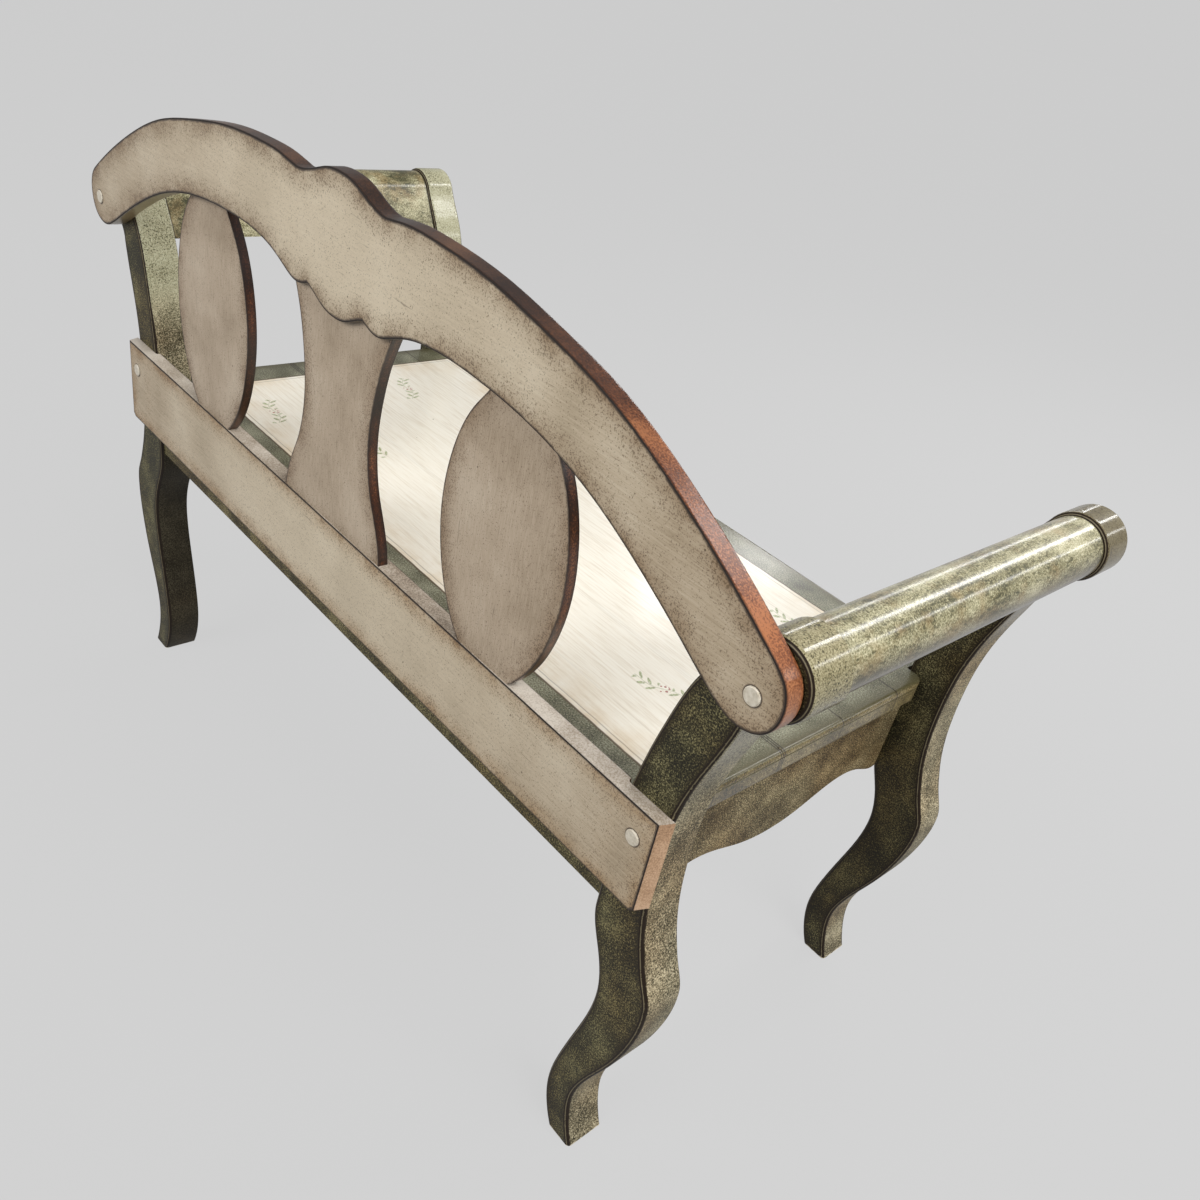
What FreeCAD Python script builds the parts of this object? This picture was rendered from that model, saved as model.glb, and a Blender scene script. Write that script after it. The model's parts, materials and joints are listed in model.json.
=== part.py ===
import FreeCAD, Part
import Sketcher
import math
import os

# Accent bench: a wooden settle with a shaped crest, three splats, rolled arms and a planked seat.
# The bench stands on the floor at z = 0, its front towards -Y, its long side along X.
# Left is -X and right is +X, as someone standing in front of the bench sees them.

# Driving sizes, in millimetres
SIZES = {
    "seat_height": 456.0,
    "seat_thickness": 30.0,
    "seat_overhang": 12.0,
    "seat_top_round": 6.0,
    "seat_lower_round": 7.0,
    "seat_corner_round": 15.0,
    "notch_gap": 3.0,
    "shoulder_gap": 0.5,
    "quirk_drop": 7.0,
    "quirk_height": 1.6,
    "quirk_depth": 1.5,
    "joint_bevel": 0.7,
    "bold_joint_bevel": 1.6,
    "leg_thickness": 46.5,
    "leg_width": 55.0,
    "leg_setting": 497.5,
    "leg_edge_round": 4.5,
    "arm_joint_round": 1.2,
    "straight_above_seat": 12.0,
    "arm_height": 673.5,
    "arm_lean": 73.0,
    "arm_length": 406.5,
    "arm_radius": 31.0,
    "arm_end_round": 1.5,
    "head_radius": 34.5,
    "rail_end_setback": 2.0,
    "rail_end_slant": 6.0,
    "rail_lap": 5.0,
    "rail_thickness": 19.0,
    "rail_height": 108.5,
    "rail_rise": 40.0,
    "rail_clip": 5.0,
    "board_edge_round": 1.6,
    "crest_overhang": 28.2,
    "crest_thickness": 21.0,
    "crest_front_round": 4.5,
    "back_height": 855.2,
    "splat_thickness": 11.0,
    "splat_inset": 1.5,
    "splat_housing": 25.0,
    "splat_foot_housing": 10.0,
    "centre_splat_width": 194.0,
    "oval_splat_width": 176.0,
    "oval_setting": 277.0,
    "apron_thickness": 20.0,
    "apron_lap": 10.0,
    "apron_end_bevel": 5.0,
    "side_apron_depth": 112.0,
    "back_apron_depth": 76.0,
    "front_apron_depth": 80.0,
    "front_apron_setback": 10.0,
    "block_height": 50.0,
    "block_reach": 55.0,
    "block_tail": 38.0,
    "plug_radius": 7.8,
    "plug_length": 6.5,
    "plug_proud": 1.5,
    "plug_edge": 0.8,
    "rail_plug_offset": 3.5,
    "rail_plug_drop": 33.5,
    "crest_plug_drop": 6.5,
    "screw_head_radius": 4.5,
    "screw_head_height": 3.0,
    "screw_shank_radius": 2.4,
    "screw_tip": 5.0,
    "screw_slot_width": 1.2,
    "screw_slot_depth": 1.4,
    "back_screw_bite": 22.0,
    "block_screw_length": 60.0,
    "block_screw_bite": 20.0,
    "seat_screw_length": 50.0,
    "seat_screw_bite": 18.0,
    "arm_dowel_radius": 8.0,
    "arm_dowel_bite": 20.0,
    "arm_dowel_tail": 30.0,
    "apron_dowel_radius": 4.0,
    "apron_dowel_bite": 20.0,
    "apron_dowel_tail": 25.0,
    "fit_clearance": 0.15,
    "overrun": 10.0,
}

# Counts
PLANKS = 5
BOLD_JOINT = 3

# Angles on the round head of a leg, in degrees from straight outwards
HEAD_INNER_ANGLE = 158.0
HEAD_OUTER_ANGLE = -80.0

# Leg below the seat: height as a share of the seat height, offset as a share of the leg width
leg_outer_low_shares = [
    (0.0, 0.464), (0.066, 0.264), (0.154, 0.164), (0.241, 0.327), (0.362, 0.736), (0.482, 1.036),
    (0.592, 1.136), (0.625, 1.1), (0.647, 1.027), (0.678, 0.9), (0.717, 0.773), (0.757, 0.664),
    (0.868, 0.5), (0.963, 0.464),
]
leg_inner_low_shares = [
    (0.0, -0.173), (0.044, -0.345), (0.132, -0.5), (0.235, -0.418), (0.36, -0.191), (0.487, 0.009),
    (0.557, 0.009), (0.636, -0.182), (0.704, -0.43), (0.757, -0.5),
]
# Leg above the seat, up to the round head: shares of each edge's own height and outward lean
leg_outer_high_shares = [(0.242, 0.032), (0.541, 0.345), (0.808, 0.751)]
leg_inner_high_shares = [
    (0.142, 0.059), (0.33, 0.161), (0.513, 0.292), (0.678, 0.438), (0.788, 0.584), (0.884, 0.774),
]
# Hollow under the round head: shares of the head radius from the arm's axis, out and up
leg_throat_shares = [(-0.392, -1.639), (-0.25, -1.24)]

# Arm rail: the inner corner of its tail from its axis, and the radius of the cove beside the tail,
# in shares of the rail's radius; and the angle where the cove meets the round
arm_foot_share = (-1.948, -1.339)
arm_cove_share = 0.387
ARM_COVE_ANGLE = -125.0
# Inner corner of the rail's lap, as a share of the lap
rail_corner_share = 0.8

# Crest: places as shares of its half length, heights as shares of the rise from arm to top
crest_crown_shares = [(0.13, 0.909), (0.105, 0.918), (0.079, 0.943), (0.035, 0.99), (0.0, 1.0)]
crest_sweep_shares = [
    (0.13, 0.909), (0.154, 0.92), (0.19, 0.933), (0.242, 0.935), (0.367, 0.909), (0.5, 0.832),
    (0.633, 0.7245), (0.767, 0.54), (0.9, 0.301), (0.967, 0.1605), (0.988, 0.103), (1.0, -0.023),
    (0.982, -0.1615), (0.938, -0.206), (0.897, -0.1595), (0.833, -0.038), (0.767, 0.0835),
    (0.633, 0.287), (0.5, 0.4025), (0.367, 0.446), (0.292, 0.448), (0.209, 0.411), (0.164, 0.359),
    (0.12, 0.3205), (0.1, 0.3337), (0.085, 0.352),
]
crest_pendant_shares = [(0.085, 0.352), (0.062, 0.3225), (0.034, 0.283), (0.0, 0.267)]
crest_cusp_share = 0.352

# Splats: height from the rail to the crest, and half width, as shares
centre_splat_shares = [
    (0.0, 1.0), (0.066, 0.969), (0.16, 0.887), (0.27, 0.763), (0.385, 0.68), (0.488, 0.649),
    (0.61, 0.66), (0.734, 0.711), (0.857, 0.794), (0.959, 0.9), (1.0, 0.948),
]
oval_splat_shares = [
    (0.0, 0.455), (0.078, 0.636), (0.2, 0.818), (0.344, 0.943), (0.529, 1.0), (0.713, 0.943),
    (0.857, 0.818), (0.96, 0.66), (1.02, 0.53), (1.07, 0.43),
]

# Lower edge of the shaped aprons: place along the half length, and depth, as shares
apron_edge_shares = [
    (0.0, 0.905), (0.045, 0.948), (0.11, 0.93), (0.22, 0.845), (0.37, 0.786), (0.54, 0.825),
    (0.76, 0.945), (1.0, 1.0),
]
# Where the dowels sit across an apron's depth
apron_dowel_shares = (0.3, 0.7)
# Where the seat screw stands in a corner block, as shares of its reach and tail
seat_screw_place_shares = (0.235, 0.2)

Vector = FreeCAD.Vector
TOLERANCE_SHARE = 1e-5

doc = FreeCAD.newDocument("accent_bench")
sheet = doc.addObject("Spreadsheet::Sheet", "sizes")
for row, (alias, number) in enumerate(SIZES.items(), start=1):
    sheet.set(f"A{row}", alias.replace("_", " "))
    sheet.set(f"B{row}", str(number))
    sheet.setAlias(f"B{row}", alias)
doc.recompute()


# One size out of the sheet
def size(alias):
    return float(sheet.get(alias))


# Heights and places that follow from the driving sizes
seat_top = size("seat_height")
seat_bottom = seat_top - size("seat_thickness")
leg_inner = size("leg_setting") - size("leg_width") / 2
leg_outer = size("leg_setting") + size("leg_width") / 2
arm_setting = size("leg_setting") + size("arm_lean")
apron_outer = leg_inner + size("apron_lap")
apron_inner = apron_outer - size("apron_thickness")
seat_side = apron_outer + size("seat_overhang")
seat_notch = leg_inner - size("notch_gap")
rail_top = seat_top + size("rail_rise")
rail_bottom = rail_top - size("rail_height")
rail_half = leg_outer - size("rail_end_setback")
crest_half = arm_setting + size("crest_overhang")
crest_rise = size("back_height") - size("arm_height")
crest_cusp = size("arm_height") + crest_cusp_share * crest_rise
splat_top = crest_cusp + size("splat_housing")
splat_foot = rail_top - size("splat_foot_housing")

# Depth places, front to back, with the middle of the whole depth at y = 0
seat_depth = 2 * size("leg_thickness") + size("arm_length") - size("rail_lap")
whole_depth = seat_depth + size("rail_lap") + size("crest_thickness") + size("plug_proud")
front_y = -whole_depth / 2
front_leg_back_y = front_y + size("leg_thickness")
back_leg_front_y = front_leg_back_y + size("arm_length")
back_leg_back_y = back_leg_front_y + size("leg_thickness")
rail_front_y = back_leg_back_y - size("rail_lap")
rail_back_y = rail_front_y + size("rail_thickness")
crest_back_y = back_leg_back_y + size("crest_thickness")
splat_back_y = rail_back_y - size("splat_inset")
back_apron_front_y = rail_front_y - size("apron_thickness")
front_apron_front_y = front_y + size("front_apron_setback")
front_apron_back_y = front_apron_front_y + size("apron_thickness")
plank_width = seat_depth / PLANKS
tolerance = TOLERANCE_SHARE * size("seat_height")

SIDES = (("left", -1), ("right", 1))
nodes = []


# A body of its own for a shaped piece, drawn from y = 0 and then set at its own depth
def new_body(label, depth_y=0):
    body = doc.addObject("PartDesign::Body", label)
    body.Label = label
    body.Placement = FreeCAD.Placement(Vector(0, depth_y, 0), FreeCAD.Rotation())
    nodes.append(body)
    return body


# A sketch on one of the body's own planes, moved along that plane's normal
def new_sketch(body, name, role, shift, curves):
    plane = [entry for entry in body.Origin.OriginFeatures if entry.Role == role][0]
    sketch = body.newObject("Sketcher::SketchObject", name)
    sketch.AttachmentSupport = [(plane, "")]
    sketch.MapMode = "FlatFace"
    sketch.AttachmentOffset = FreeCAD.Placement(Vector(0, 0, shift), FreeCAD.Rotation())
    sketch.addGeometry(curves, False)
    return sketch


# Thickness added to a sketch
def add_pad(body, name, sketch, length):
    feature = body.newObject("PartDesign::Pad", name)
    feature.Profile = sketch
    feature.setExpression("Length", length)
    doc.recompute()
    return feature


# Material taken away by a sketch, with a test that something was cut
def add_pocket(body, name, sketch, length, forward):
    faces = len(body.Shape.Faces)
    volume = body.Shape.Volume
    feature = body.newObject("PartDesign::Pocket", name)
    feature.Profile = sketch
    feature.Reversed = forward
    if length:
        feature.setExpression("Length", length)
    else:
        feature.Type = "ThroughAll"
        feature.SideType = "Symmetric"
    doc.recompute()
    if body.Shape.Volume >= volume and len(body.Shape.Faces) <= faces:
        raise ValueError(name + " cuts nothing")
    return feature


# Round holes of one radius and one depth, drilled from a plane
def drill(body, name, role, shift, centres, radius, length, forward):
    sketch = new_sketch(body, name + "_sketch", role, shift, [])
    for u, v in centres:
        circle = Part.Circle(Vector(u, v, 0), Vector(0, 0, 1), size("screw_head_radius"))
        index = sketch.addGeometry(circle, False)
        number = sketch.addConstraint(Sketcher.Constraint("Radius", index, size("screw_head_radius")))
        sketch.setExpression(f"Constraints[{number}]", radius)
    return add_pocket(body, name, sketch, length, forward)


# Edges of the body's last feature that a test picks out
def pick_edges(body, wanted):
    edges = body.Tip.Shape.Edges
    return [f"Edge{number}" for number, edge in enumerate(edges, start=1) if wanted(edge.BoundBox)]


# A rounded or a bevelled set of edges
def ease(body, name, kind, wanted, amount):
    base = body.Tip
    names = pick_edges(body, wanted)
    feature = body.newObject("PartDesign::" + kind, name)
    feature.Base = (base, names)
    feature.setExpression("Radius" if kind == "Fillet" else "Size", amount)
    doc.recompute()
    return feature


def near(first, second):
    return abs(first - second) < tolerance


# Smooth curve through points
def spline(points):
    curve = Part.BSplineCurve()
    curve.interpolate([Vector(u, v, 0) for u, v in points])
    return curve


def line(start, end):
    return Part.LineSegment(Vector(start[0], start[1], 0), Vector(end[0], end[1], 0))


# Arc through three points, always laid anticlockwise
def arc(start, middle, end):
    turn = (middle[0] - start[0]) * (end[1] - middle[1]) - (middle[1] - start[1]) * (end[0] - middle[0])
    ordered = (start, middle, end) if turn > 0 else (end, middle, start)
    return Part.Arc(*[Vector(u, v, 0) for u, v in ordered])


# Closed outline of straight lines
def polygon(points):
    return [line(points[i], points[(i + 1) % len(points)]) for i in range(len(points))]


def mirrored(points, side):
    return [(side * u, v) for u, v in points]


# A plain round rod, or its hole's twin, from a base along a direction
def cylinder(name, radius, height, base, direction):
    rod = doc.addObject("Part::Cylinder", name)
    rod.setExpression("Radius", radius)
    rod.setExpression("Height", height)
    rod.Placement = FreeCAD.Placement(base, FreeCAD.Rotation(Vector(0, 0, 1), direction))
    return rod


# Several like pieces under one name
def group(label, members):
    whole = doc.addObject("Part::Compound", label)
    whole.Label = label
    whole.Links = members
    nodes.append(whole)
    doc.recompute()
    return whole


# Leg outline for one side, from the foot up the outer edge, round the head and down inside
def leg_outline(side):
    centre = (arm_setting, size("arm_height"))

    def on_head(angle):
        turn = math.radians(angle)
        reach = size("head_radius")
        return (centre[0] + reach * math.cos(turn), centre[1] + reach * math.sin(turn))

    def low(shares):
        return [(size("leg_setting") + w * size("leg_width"), v * seat_top) for v, w in shares]

    def high(shares, start, end):
        return [
            (start[0] + w * (end[0] - start[0]), start[1] + v * (end[1] - start[1])) for v, w in shares
        ] + [end]

    throat_start, throat = [
        (centre[0] + u * size("head_radius"), centre[1] + v * size("head_radius"))
        for u, v in leg_throat_shares
    ]
    throat_end = on_head(HEAD_OUTER_ANGLE)
    seat_point = (leg_outer, seat_top)
    outer = low(leg_outer_low_shares) + high(leg_outer_high_shares, seat_point, throat_start)
    inner_low = low(leg_inner_low_shares)
    straight_top = (leg_inner, seat_top + size("straight_above_seat"))
    join = on_head(HEAD_INNER_ANGLE)
    inner_high = [straight_top] + high(leg_inner_high_shares, straight_top, join)
    middle_angle = (HEAD_INNER_ANGLE + HEAD_OUTER_ANGLE) / 2
    turned = [mirrored(points, side) for points in (
        [inner_low[0], outer[0]],
        outer,
        [outer[-1], throat, throat_end],
        [throat_end, on_head(middle_angle), join],
        inner_high,
        [inner_low[-1], straight_top],
        inner_low,
    )]
    return [
        line(*turned[0]), spline(turned[1]), arc(*turned[2]), arc(*turned[3]),
        spline(turned[4]), line(*turned[5]), spline(turned[6]),
    ]


# Legs: one sawn board each, from foot to round arm head
def make_leg(end, side_name, side):
    back = end == "back"
    near_y = back_leg_back_y if back else front_leg_back_y
    far_y = near_y - size("leg_thickness")
    inner_face = back_leg_front_y if back else front_leg_back_y
    body = new_body(f"{end}_leg_{side_name}")
    outline = new_sketch(body, "leg_outline", "XZ_Plane", -near_y, leg_outline(side))
    add_pad(body, "leg_board", outline, "sizes.leg_thickness")

    # Rounds along the edges of the two faces, left off at the floor; the back leg's inner face,
    # where the arm's line runs on into the head, is only just eased
    def on_face(box, place):
        return near(box.YMin, box.YMax) and near(box.YMin, place) and box.ZMax > tolerance

    ease(body, "leg_back_edges", "Fillet", lambda box: on_face(box, near_y), "sizes.leg_edge_round")
    ease(body, "leg_front_edges", "Fillet", lambda box: on_face(box, far_y),
         "sizes.arm_joint_round" if back else "sizes.leg_edge_round")
    arm_centre = (side * arm_setting, size("arm_height"))
    drill(body, "arm_dowel_hole", "XZ_Plane", -inner_face, [arm_centre],
          "sizes.arm_dowel_radius + sizes.fit_clearance", "sizes.arm_dowel_bite + sizes.fit_clearance",
          not back)
    depth = size("back_apron_depth") if back else size("front_apron_depth")
    apron_y = (back_apron_front_y if back else front_apron_front_y) + size("apron_thickness") / 2
    places = [(apron_y, seat_bottom - share * depth) for share in apron_dowel_shares]
    drill(body, "apron_dowel_holes", "YZ_Plane", side * leg_inner, places,
          "sizes.apron_dowel_radius + sizes.fit_clearance",
          "sizes.apron_dowel_bite + sizes.fit_clearance", side > 0)
    block_y = block_screw_y(end)
    drill(body, "block_screw_hole", "YZ_Plane", side * leg_inner, [(block_y, block_screw_z)],
          "sizes.screw_shank_radius + sizes.fit_clearance",
          "sizes.block_screw_bite + sizes.fit_clearance", side > 0)
    if back:
        screws = [crest_screw_place(side), rail_screw_place(side)]
        drill(body, "back_screw_holes", "XZ_Plane", -near_y, screws,
              "sizes.screw_shank_radius + sizes.fit_clearance",
              "sizes.back_screw_bite + sizes.fit_clearance", True)


# Screw and plug places on the back of the bench
def crest_screw_place(side):
    return (side * arm_setting, size("arm_height") - size("crest_plug_drop"))


def rail_screw_place(side):
    return (side * (size("leg_setting") + size("rail_plug_offset")), rail_top - size("rail_plug_drop"))


# Corner block places: the screw into the leg stands half way along the leg's free edge
block_screw_z = seat_bottom - size("block_height") / 2


def block_screw_y(end):
    if end == "back":
        return (back_apron_front_y + back_leg_front_y) / 2
    return (front_apron_back_y + front_leg_back_y) / 2


for end in ("back", "front"):
    for side_name, side in SIDES:
        make_leg(end, side_name, side)


# Splat outline about its own middle, housed in the rail below and in the crest above
def splat_outline(centre, width, shares):
    span = crest_cusp - rail_top
    right = [(w * width / 2, rail_top + v * span) for v, w in shares]
    foot = (right[0][0], splat_foot)
    head = (right[-1][0], splat_top)

    def at(points, side):
        return [(centre + side * u, v) for u, v in points]

    return [
        line(*at([foot, (-foot[0], foot[1])], 1)),
        line(*at([foot, right[0]], 1)),
        spline(at(right, 1)),
        line(*at([right[-1], head], 1)),
        line(*at([head, (-head[0], head[1])], 1)),
        line(*at([head, right[-1]], -1)),
        spline(at(right, -1)),
        line(*at([right[0], foot], -1)),
    ]


splats = [("centre_splat", 0, size("centre_splat_width"), centre_splat_shares)]
for side_name, side in SIDES:
    middle = side * size("oval_setting")
    splats.append((f"oval_splat_{side_name}", middle, size("oval_splat_width"), oval_splat_shares))

for label, centre, width, shares in splats:
    body = new_body(label)
    outline = new_sketch(body, "splat_outline", "XZ_Plane", -splat_back_y,
                         splat_outline(centre, width, shares))
    add_pad(body, "splat_board", outline, "sizes.splat_thickness")


# Housings for the splats, cut with the splats' own outlines
def house_splats(body):
    depth = splat_back_y - body.Placement.Base.y
    for label, centre, width, shares in splats:
        outline = new_sketch(body, label + "_housing", "XZ_Plane", -depth,
                             splat_outline(centre, width, shares))
        add_pocket(body, label + "_pocket", outline, "sizes.splat_thickness", True)


# Plug hole, and the screw hole that goes on through the board
def plug_holes(body, back_y, places):
    drill(body, "plug_holes", "XZ_Plane", -back_y, places,
          "sizes.plug_radius + sizes.fit_clearance",
          "sizes.plug_length - sizes.plug_proud + sizes.fit_clearance + sizes.screw_head_height", True)
    drill(body, "screw_holes", "XZ_Plane", -back_y, places,
          "sizes.screw_shank_radius + sizes.fit_clearance", "", True)


# Crest: one shaped board over the backs of the back legs
def crest_outline():
    def place(shares, side):
        return [(side * u * crest_half, size("arm_height") + v * crest_rise) for u, v in shares]

    def across(shares):
        return place(shares, 1) + place(shares[:-1], -1)[::-1]

    return [
        spline(across(crest_crown_shares)),
        spline(place(crest_sweep_shares, 1)),
        spline(across(crest_pendant_shares)),
        spline(place(crest_sweep_shares, -1)),
    ]


crest = new_body("crest_rail", back_leg_back_y)
crest_back = size("crest_thickness")
outline = new_sketch(crest, "crest_outline", "XZ_Plane", -crest_back, crest_outline())
add_pad(crest, "crest_board", outline, "sizes.crest_thickness")
ease(crest, "crest_edges", "Fillet",
     lambda box: near(box.YMin, crest_back) and near(box.YMax, crest_back), "sizes.board_edge_round")
ease(crest, "crest_front_edges", "Fillet",
     lambda box: near(box.YMin, 0) and near(box.YMax, 0), "sizes.crest_front_round")
house_splats(crest)
plug_holes(crest, crest_back, [crest_screw_place(side) for side_name, side in SIDES])

# Back rail: a straight board with slanted ends and clipped lower corners, let over the legs' backs
rail = new_body("back_rail")


def rail_plan():
    back_corner = (rail_half, rail_back_y)
    tip = (rail_half + size("rail_end_slant"), back_leg_back_y)
    lap_end = leg_inner - size("shoulder_gap")
    bend = rail_corner_share * size("rail_lap")
    ease_in = bend * (1 - math.cos(math.radians(45)))
    corner = [(lap_end + bend, back_leg_back_y), (lap_end + ease_in, back_leg_back_y - ease_in),
              (lap_end, back_leg_back_y - bend)]
    front = (lap_end, rail_front_y)
    curves = [line((-back_corner[0], back_corner[1]), back_corner), line((-front[0], front[1]), front)]
    for side_name, side in SIDES:
        curves += [line(*mirrored([back_corner, tip], side)), line(*mirrored([tip, corner[0]], side)),
                   arc(*mirrored(corner, side)), line(*mirrored([corner[-1], front], side))]
    return curves


outline = new_sketch(rail, "rail_plan", "XY_Plane", rail_bottom, rail_plan())
add_pad(rail, "rail_board", outline, "sizes.rail_height")
ease(rail, "rail_clips", "Chamfer",
     lambda box: near(box.ZMax, rail_bottom) and box.YMax - box.YMin > tolerance
     and max(-box.XMin, box.XMax) > rail_half - tolerance, "sizes.rail_clip")
ease(rail, "rail_edges", "Fillet",
     lambda box: near(box.YMin, rail_back_y) and near(box.YMax, rail_back_y), "sizes.board_edge_round")
house_splats(rail)
plug_holes(rail, rail_back_y, [rail_screw_place(side) for side_name, side in SIDES])

# Arm rails: round on top and outside; the inner side runs on down as a tail, in line with the
# legs' necks
def arm_section(side):
    def place(u, v):
        return (arm_setting + u * size("arm_radius"), size("arm_height") + v * size("arm_radius"))

    def around(middle, reach, angle):
        turn = math.radians(angle)
        return place(middle[0] + reach * math.cos(turn), middle[1] + reach * math.sin(turn))

    foot_turn = math.degrees(math.atan2(arm_foot_share[1], arm_foot_share[0])) % 360
    top_turn = foot_turn - math.degrees(math.acos(1 / math.hypot(*arm_foot_share)))
    low, middle, top = [around((0, 0), 1, turn) for turn in (
        ARM_COVE_ANGLE, (ARM_COVE_ANGLE + top_turn) / 2, top_turn)]
    reach = (1 + arm_cove_share)
    cove_middle = (reach * math.cos(math.radians(ARM_COVE_ANGLE)),
                   reach * math.sin(math.radians(ARM_COVE_ANGLE)))
    cove_start, cove = [around(cove_middle, arm_cove_share, turn) for turn in (
        180, 180 + ARM_COVE_ANGLE / 2)]
    inner_foot = place(*arm_foot_share)
    outer_foot = (cove_start[0], inner_foot[1])
    return [
        arc(*mirrored([low, middle, top], side)), line(*mirrored([top, inner_foot], side)),
        line(*mirrored([inner_foot, outer_foot], side)), line(*mirrored([outer_foot, cove_start], side)),
        arc(*mirrored([cove_start, cove, low], side)),
    ]


for side_name, side in SIDES:
    body = new_body(f"arm_roll_{side_name}")
    centre = (side * arm_setting, size("arm_height"))
    outline = new_sketch(body, "roll_section", "XZ_Plane", -back_leg_front_y, arm_section(side))
    add_pad(body, "roll", outline, "sizes.arm_length")
    ease(body, "roll_end_rounds", "Fillet", lambda box: near(box.YMin, box.YMax), "sizes.arm_end_round")
    for end_y, forward in ((back_leg_front_y, True), (front_leg_back_y, False)):
        drill(body, "dowel_hole", "XZ_Plane", -end_y, [centre],
              "sizes.arm_dowel_radius + sizes.fit_clearance",
              "sizes.arm_dowel_tail + sizes.fit_clearance", forward)

# Seat: moulded cross section, the same for every plank, with a fine quirk under the top round
def seat_section():
    top = size("seat_top_round")
    low = size("seat_lower_round")
    quirk_mid = seat_top - size("quirk_drop")
    half_quirk = size("quirk_height") / 2
    bend = 1 - math.cos(math.radians(45))

    def end(side):
        reach = seat_side
        return [mirrored(points, side) for points in (
            [(reach - low, seat_bottom), (reach - low * bend, seat_bottom + low * bend),
             (reach, seat_bottom + low)],
            [(reach, seat_bottom + low), (reach, quirk_mid - half_quirk)],
            [(reach, quirk_mid - half_quirk), (reach - size("quirk_depth"), quirk_mid)],
            [(reach - size("quirk_depth"), quirk_mid), (reach, quirk_mid + half_quirk)],
            [(reach, quirk_mid + half_quirk), (reach, seat_top - top)],
            [(reach, seat_top - top), (reach - top * bend, seat_top - top * bend),
             (reach - top, seat_top)],
        )]

    curves = []
    for side_name, side in SIDES:
        lower, wall, quirk_in, quirk_out, neck, upper = end(side)
        curves += [arc(*lower), line(*wall), line(*quirk_in), line(*quirk_out)]
        if abs(neck[0][1] - neck[1][1]) > tolerance:
            curves.append(line(*neck))
        curves.append(arc(*upper))
    curves.append(line((-(seat_side - low), seat_bottom), (seat_side - low, seat_bottom)))
    curves.append(line((-(seat_side - top), seat_top), (seat_side - top, seat_top)))
    return curves


# Seat screws stand in the corner blocks and bite into the first and the last plank
def seat_screw_place(end, side):
    across = size("block_reach") * seat_screw_place_shares[0]
    along = size("block_tail") * seat_screw_place_shares[1]
    if end == "back":
        return (side * (apron_inner - across), back_leg_front_y - along)
    return (side * (apron_inner - across), front_leg_back_y + along)


for number in range(1, PLANKS + 1):
    start_y = front_y + (number - 1) * plank_width
    end_y = start_y + plank_width
    body = new_body(f"seat_plank_{number}")
    section = new_sketch(body, "plank_section", "XZ_Plane", -end_y, seat_section())
    add_pad(body, "plank", section,
            "(2 * sizes.leg_thickness + sizes.arm_length - sizes.rail_lap) / " + str(PLANKS))
    over = size("overrun")

    # Notches round the legs, with a rounded corner just before each front leg
    if number in (1, PLANKS):
        curves = []
        for side_name, side in SIDES:
            outside = seat_side + over
            if number == 1:
                shoulder = front_leg_back_y + size("shoulder_gap")
                corner = size("seat_corner_round")
                bend = corner * (1 - math.cos(math.radians(45)))
                points = mirrored([
                    (seat_side - corner, shoulder), (seat_notch, shoulder),
                    (seat_notch, front_y - over), (outside, front_y - over),
                    (outside, shoulder + corner), (seat_side, shoulder + corner),
                ], side)
                curves += polygon(points)[:-1]
                curves.append(arc(*mirrored([
                    (seat_side, shoulder + corner), (seat_side - bend, shoulder + bend),
                    (seat_side - corner, shoulder),
                ], side)))
            else:
                shoulder = back_leg_front_y - size("shoulder_gap")
                curves += polygon(mirrored([
                    (seat_notch, shoulder), (outside, shoulder),
                    (outside, back_leg_back_y + over), (seat_notch, back_leg_back_y + over),
                ], side))
        notches = new_sketch(body, "leg_notches", "XY_Plane", seat_top + over, curves)
        add_pocket(body, "leg_notch_cuts", notches, "sizes.seat_thickness + 2 * sizes.overrun", False)

    # Fine bevels along the glued joints, with one bolder joint
    bevels = []
    if number > 1:
        cut = size("bold_joint_bevel") if number == BOLD_JOINT + 1 else size("joint_bevel")
        bevels += polygon([(start_y - over, seat_top + over), (start_y - over, seat_top - cut),
                           (start_y, seat_top - cut), (start_y + cut, seat_top),
                           (start_y + cut, seat_top + over)])
    if number < PLANKS:
        cut = size("bold_joint_bevel") if number == BOLD_JOINT else size("joint_bevel")
        bevels += polygon([(end_y + over, seat_top + over), (end_y + over, seat_top - cut),
                           (end_y, seat_top - cut), (end_y - cut, seat_top),
                           (end_y - cut, seat_top + over)])
    if number == 1:
        quirk_mid = seat_top - size("quirk_drop")
        half_quirk = size("quirk_height") / 2
        bevels += polygon([(start_y, quirk_mid - half_quirk), (start_y + size("quirk_depth"), quirk_mid),
                           (start_y, quirk_mid + half_quirk), (start_y - over, quirk_mid + half_quirk),
                           (start_y - over, quirk_mid - half_quirk)])
        ease(body, "front_top_round", "Fillet",
             lambda box: near(box.YMin, start_y) and near(box.YMax, start_y) and near(box.ZMin, seat_top),
             "sizes.seat_top_round")
        ease(body, "front_lower_round", "Fillet",
             lambda box: near(box.YMin, start_y) and near(box.YMax, start_y) and near(box.ZMax, seat_bottom),
             "sizes.seat_lower_round")
    cuts = new_sketch(body, "joint_bevels", "YZ_Plane", 0, bevels)
    add_pocket(body, "joint_bevel_cuts", cuts, "", False)

    # Screw holes from below
    if number in (1, PLANKS):
        end = "front" if number == 1 else "back"
        places = [seat_screw_place(end, side) for side_name, side in SIDES]
        drill(body, "seat_screw_holes", "XY_Plane", seat_bottom, places,
              "sizes.screw_shank_radius + sizes.fit_clearance",
              "sizes.seat_screw_bite + sizes.fit_clearance", True)


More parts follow.
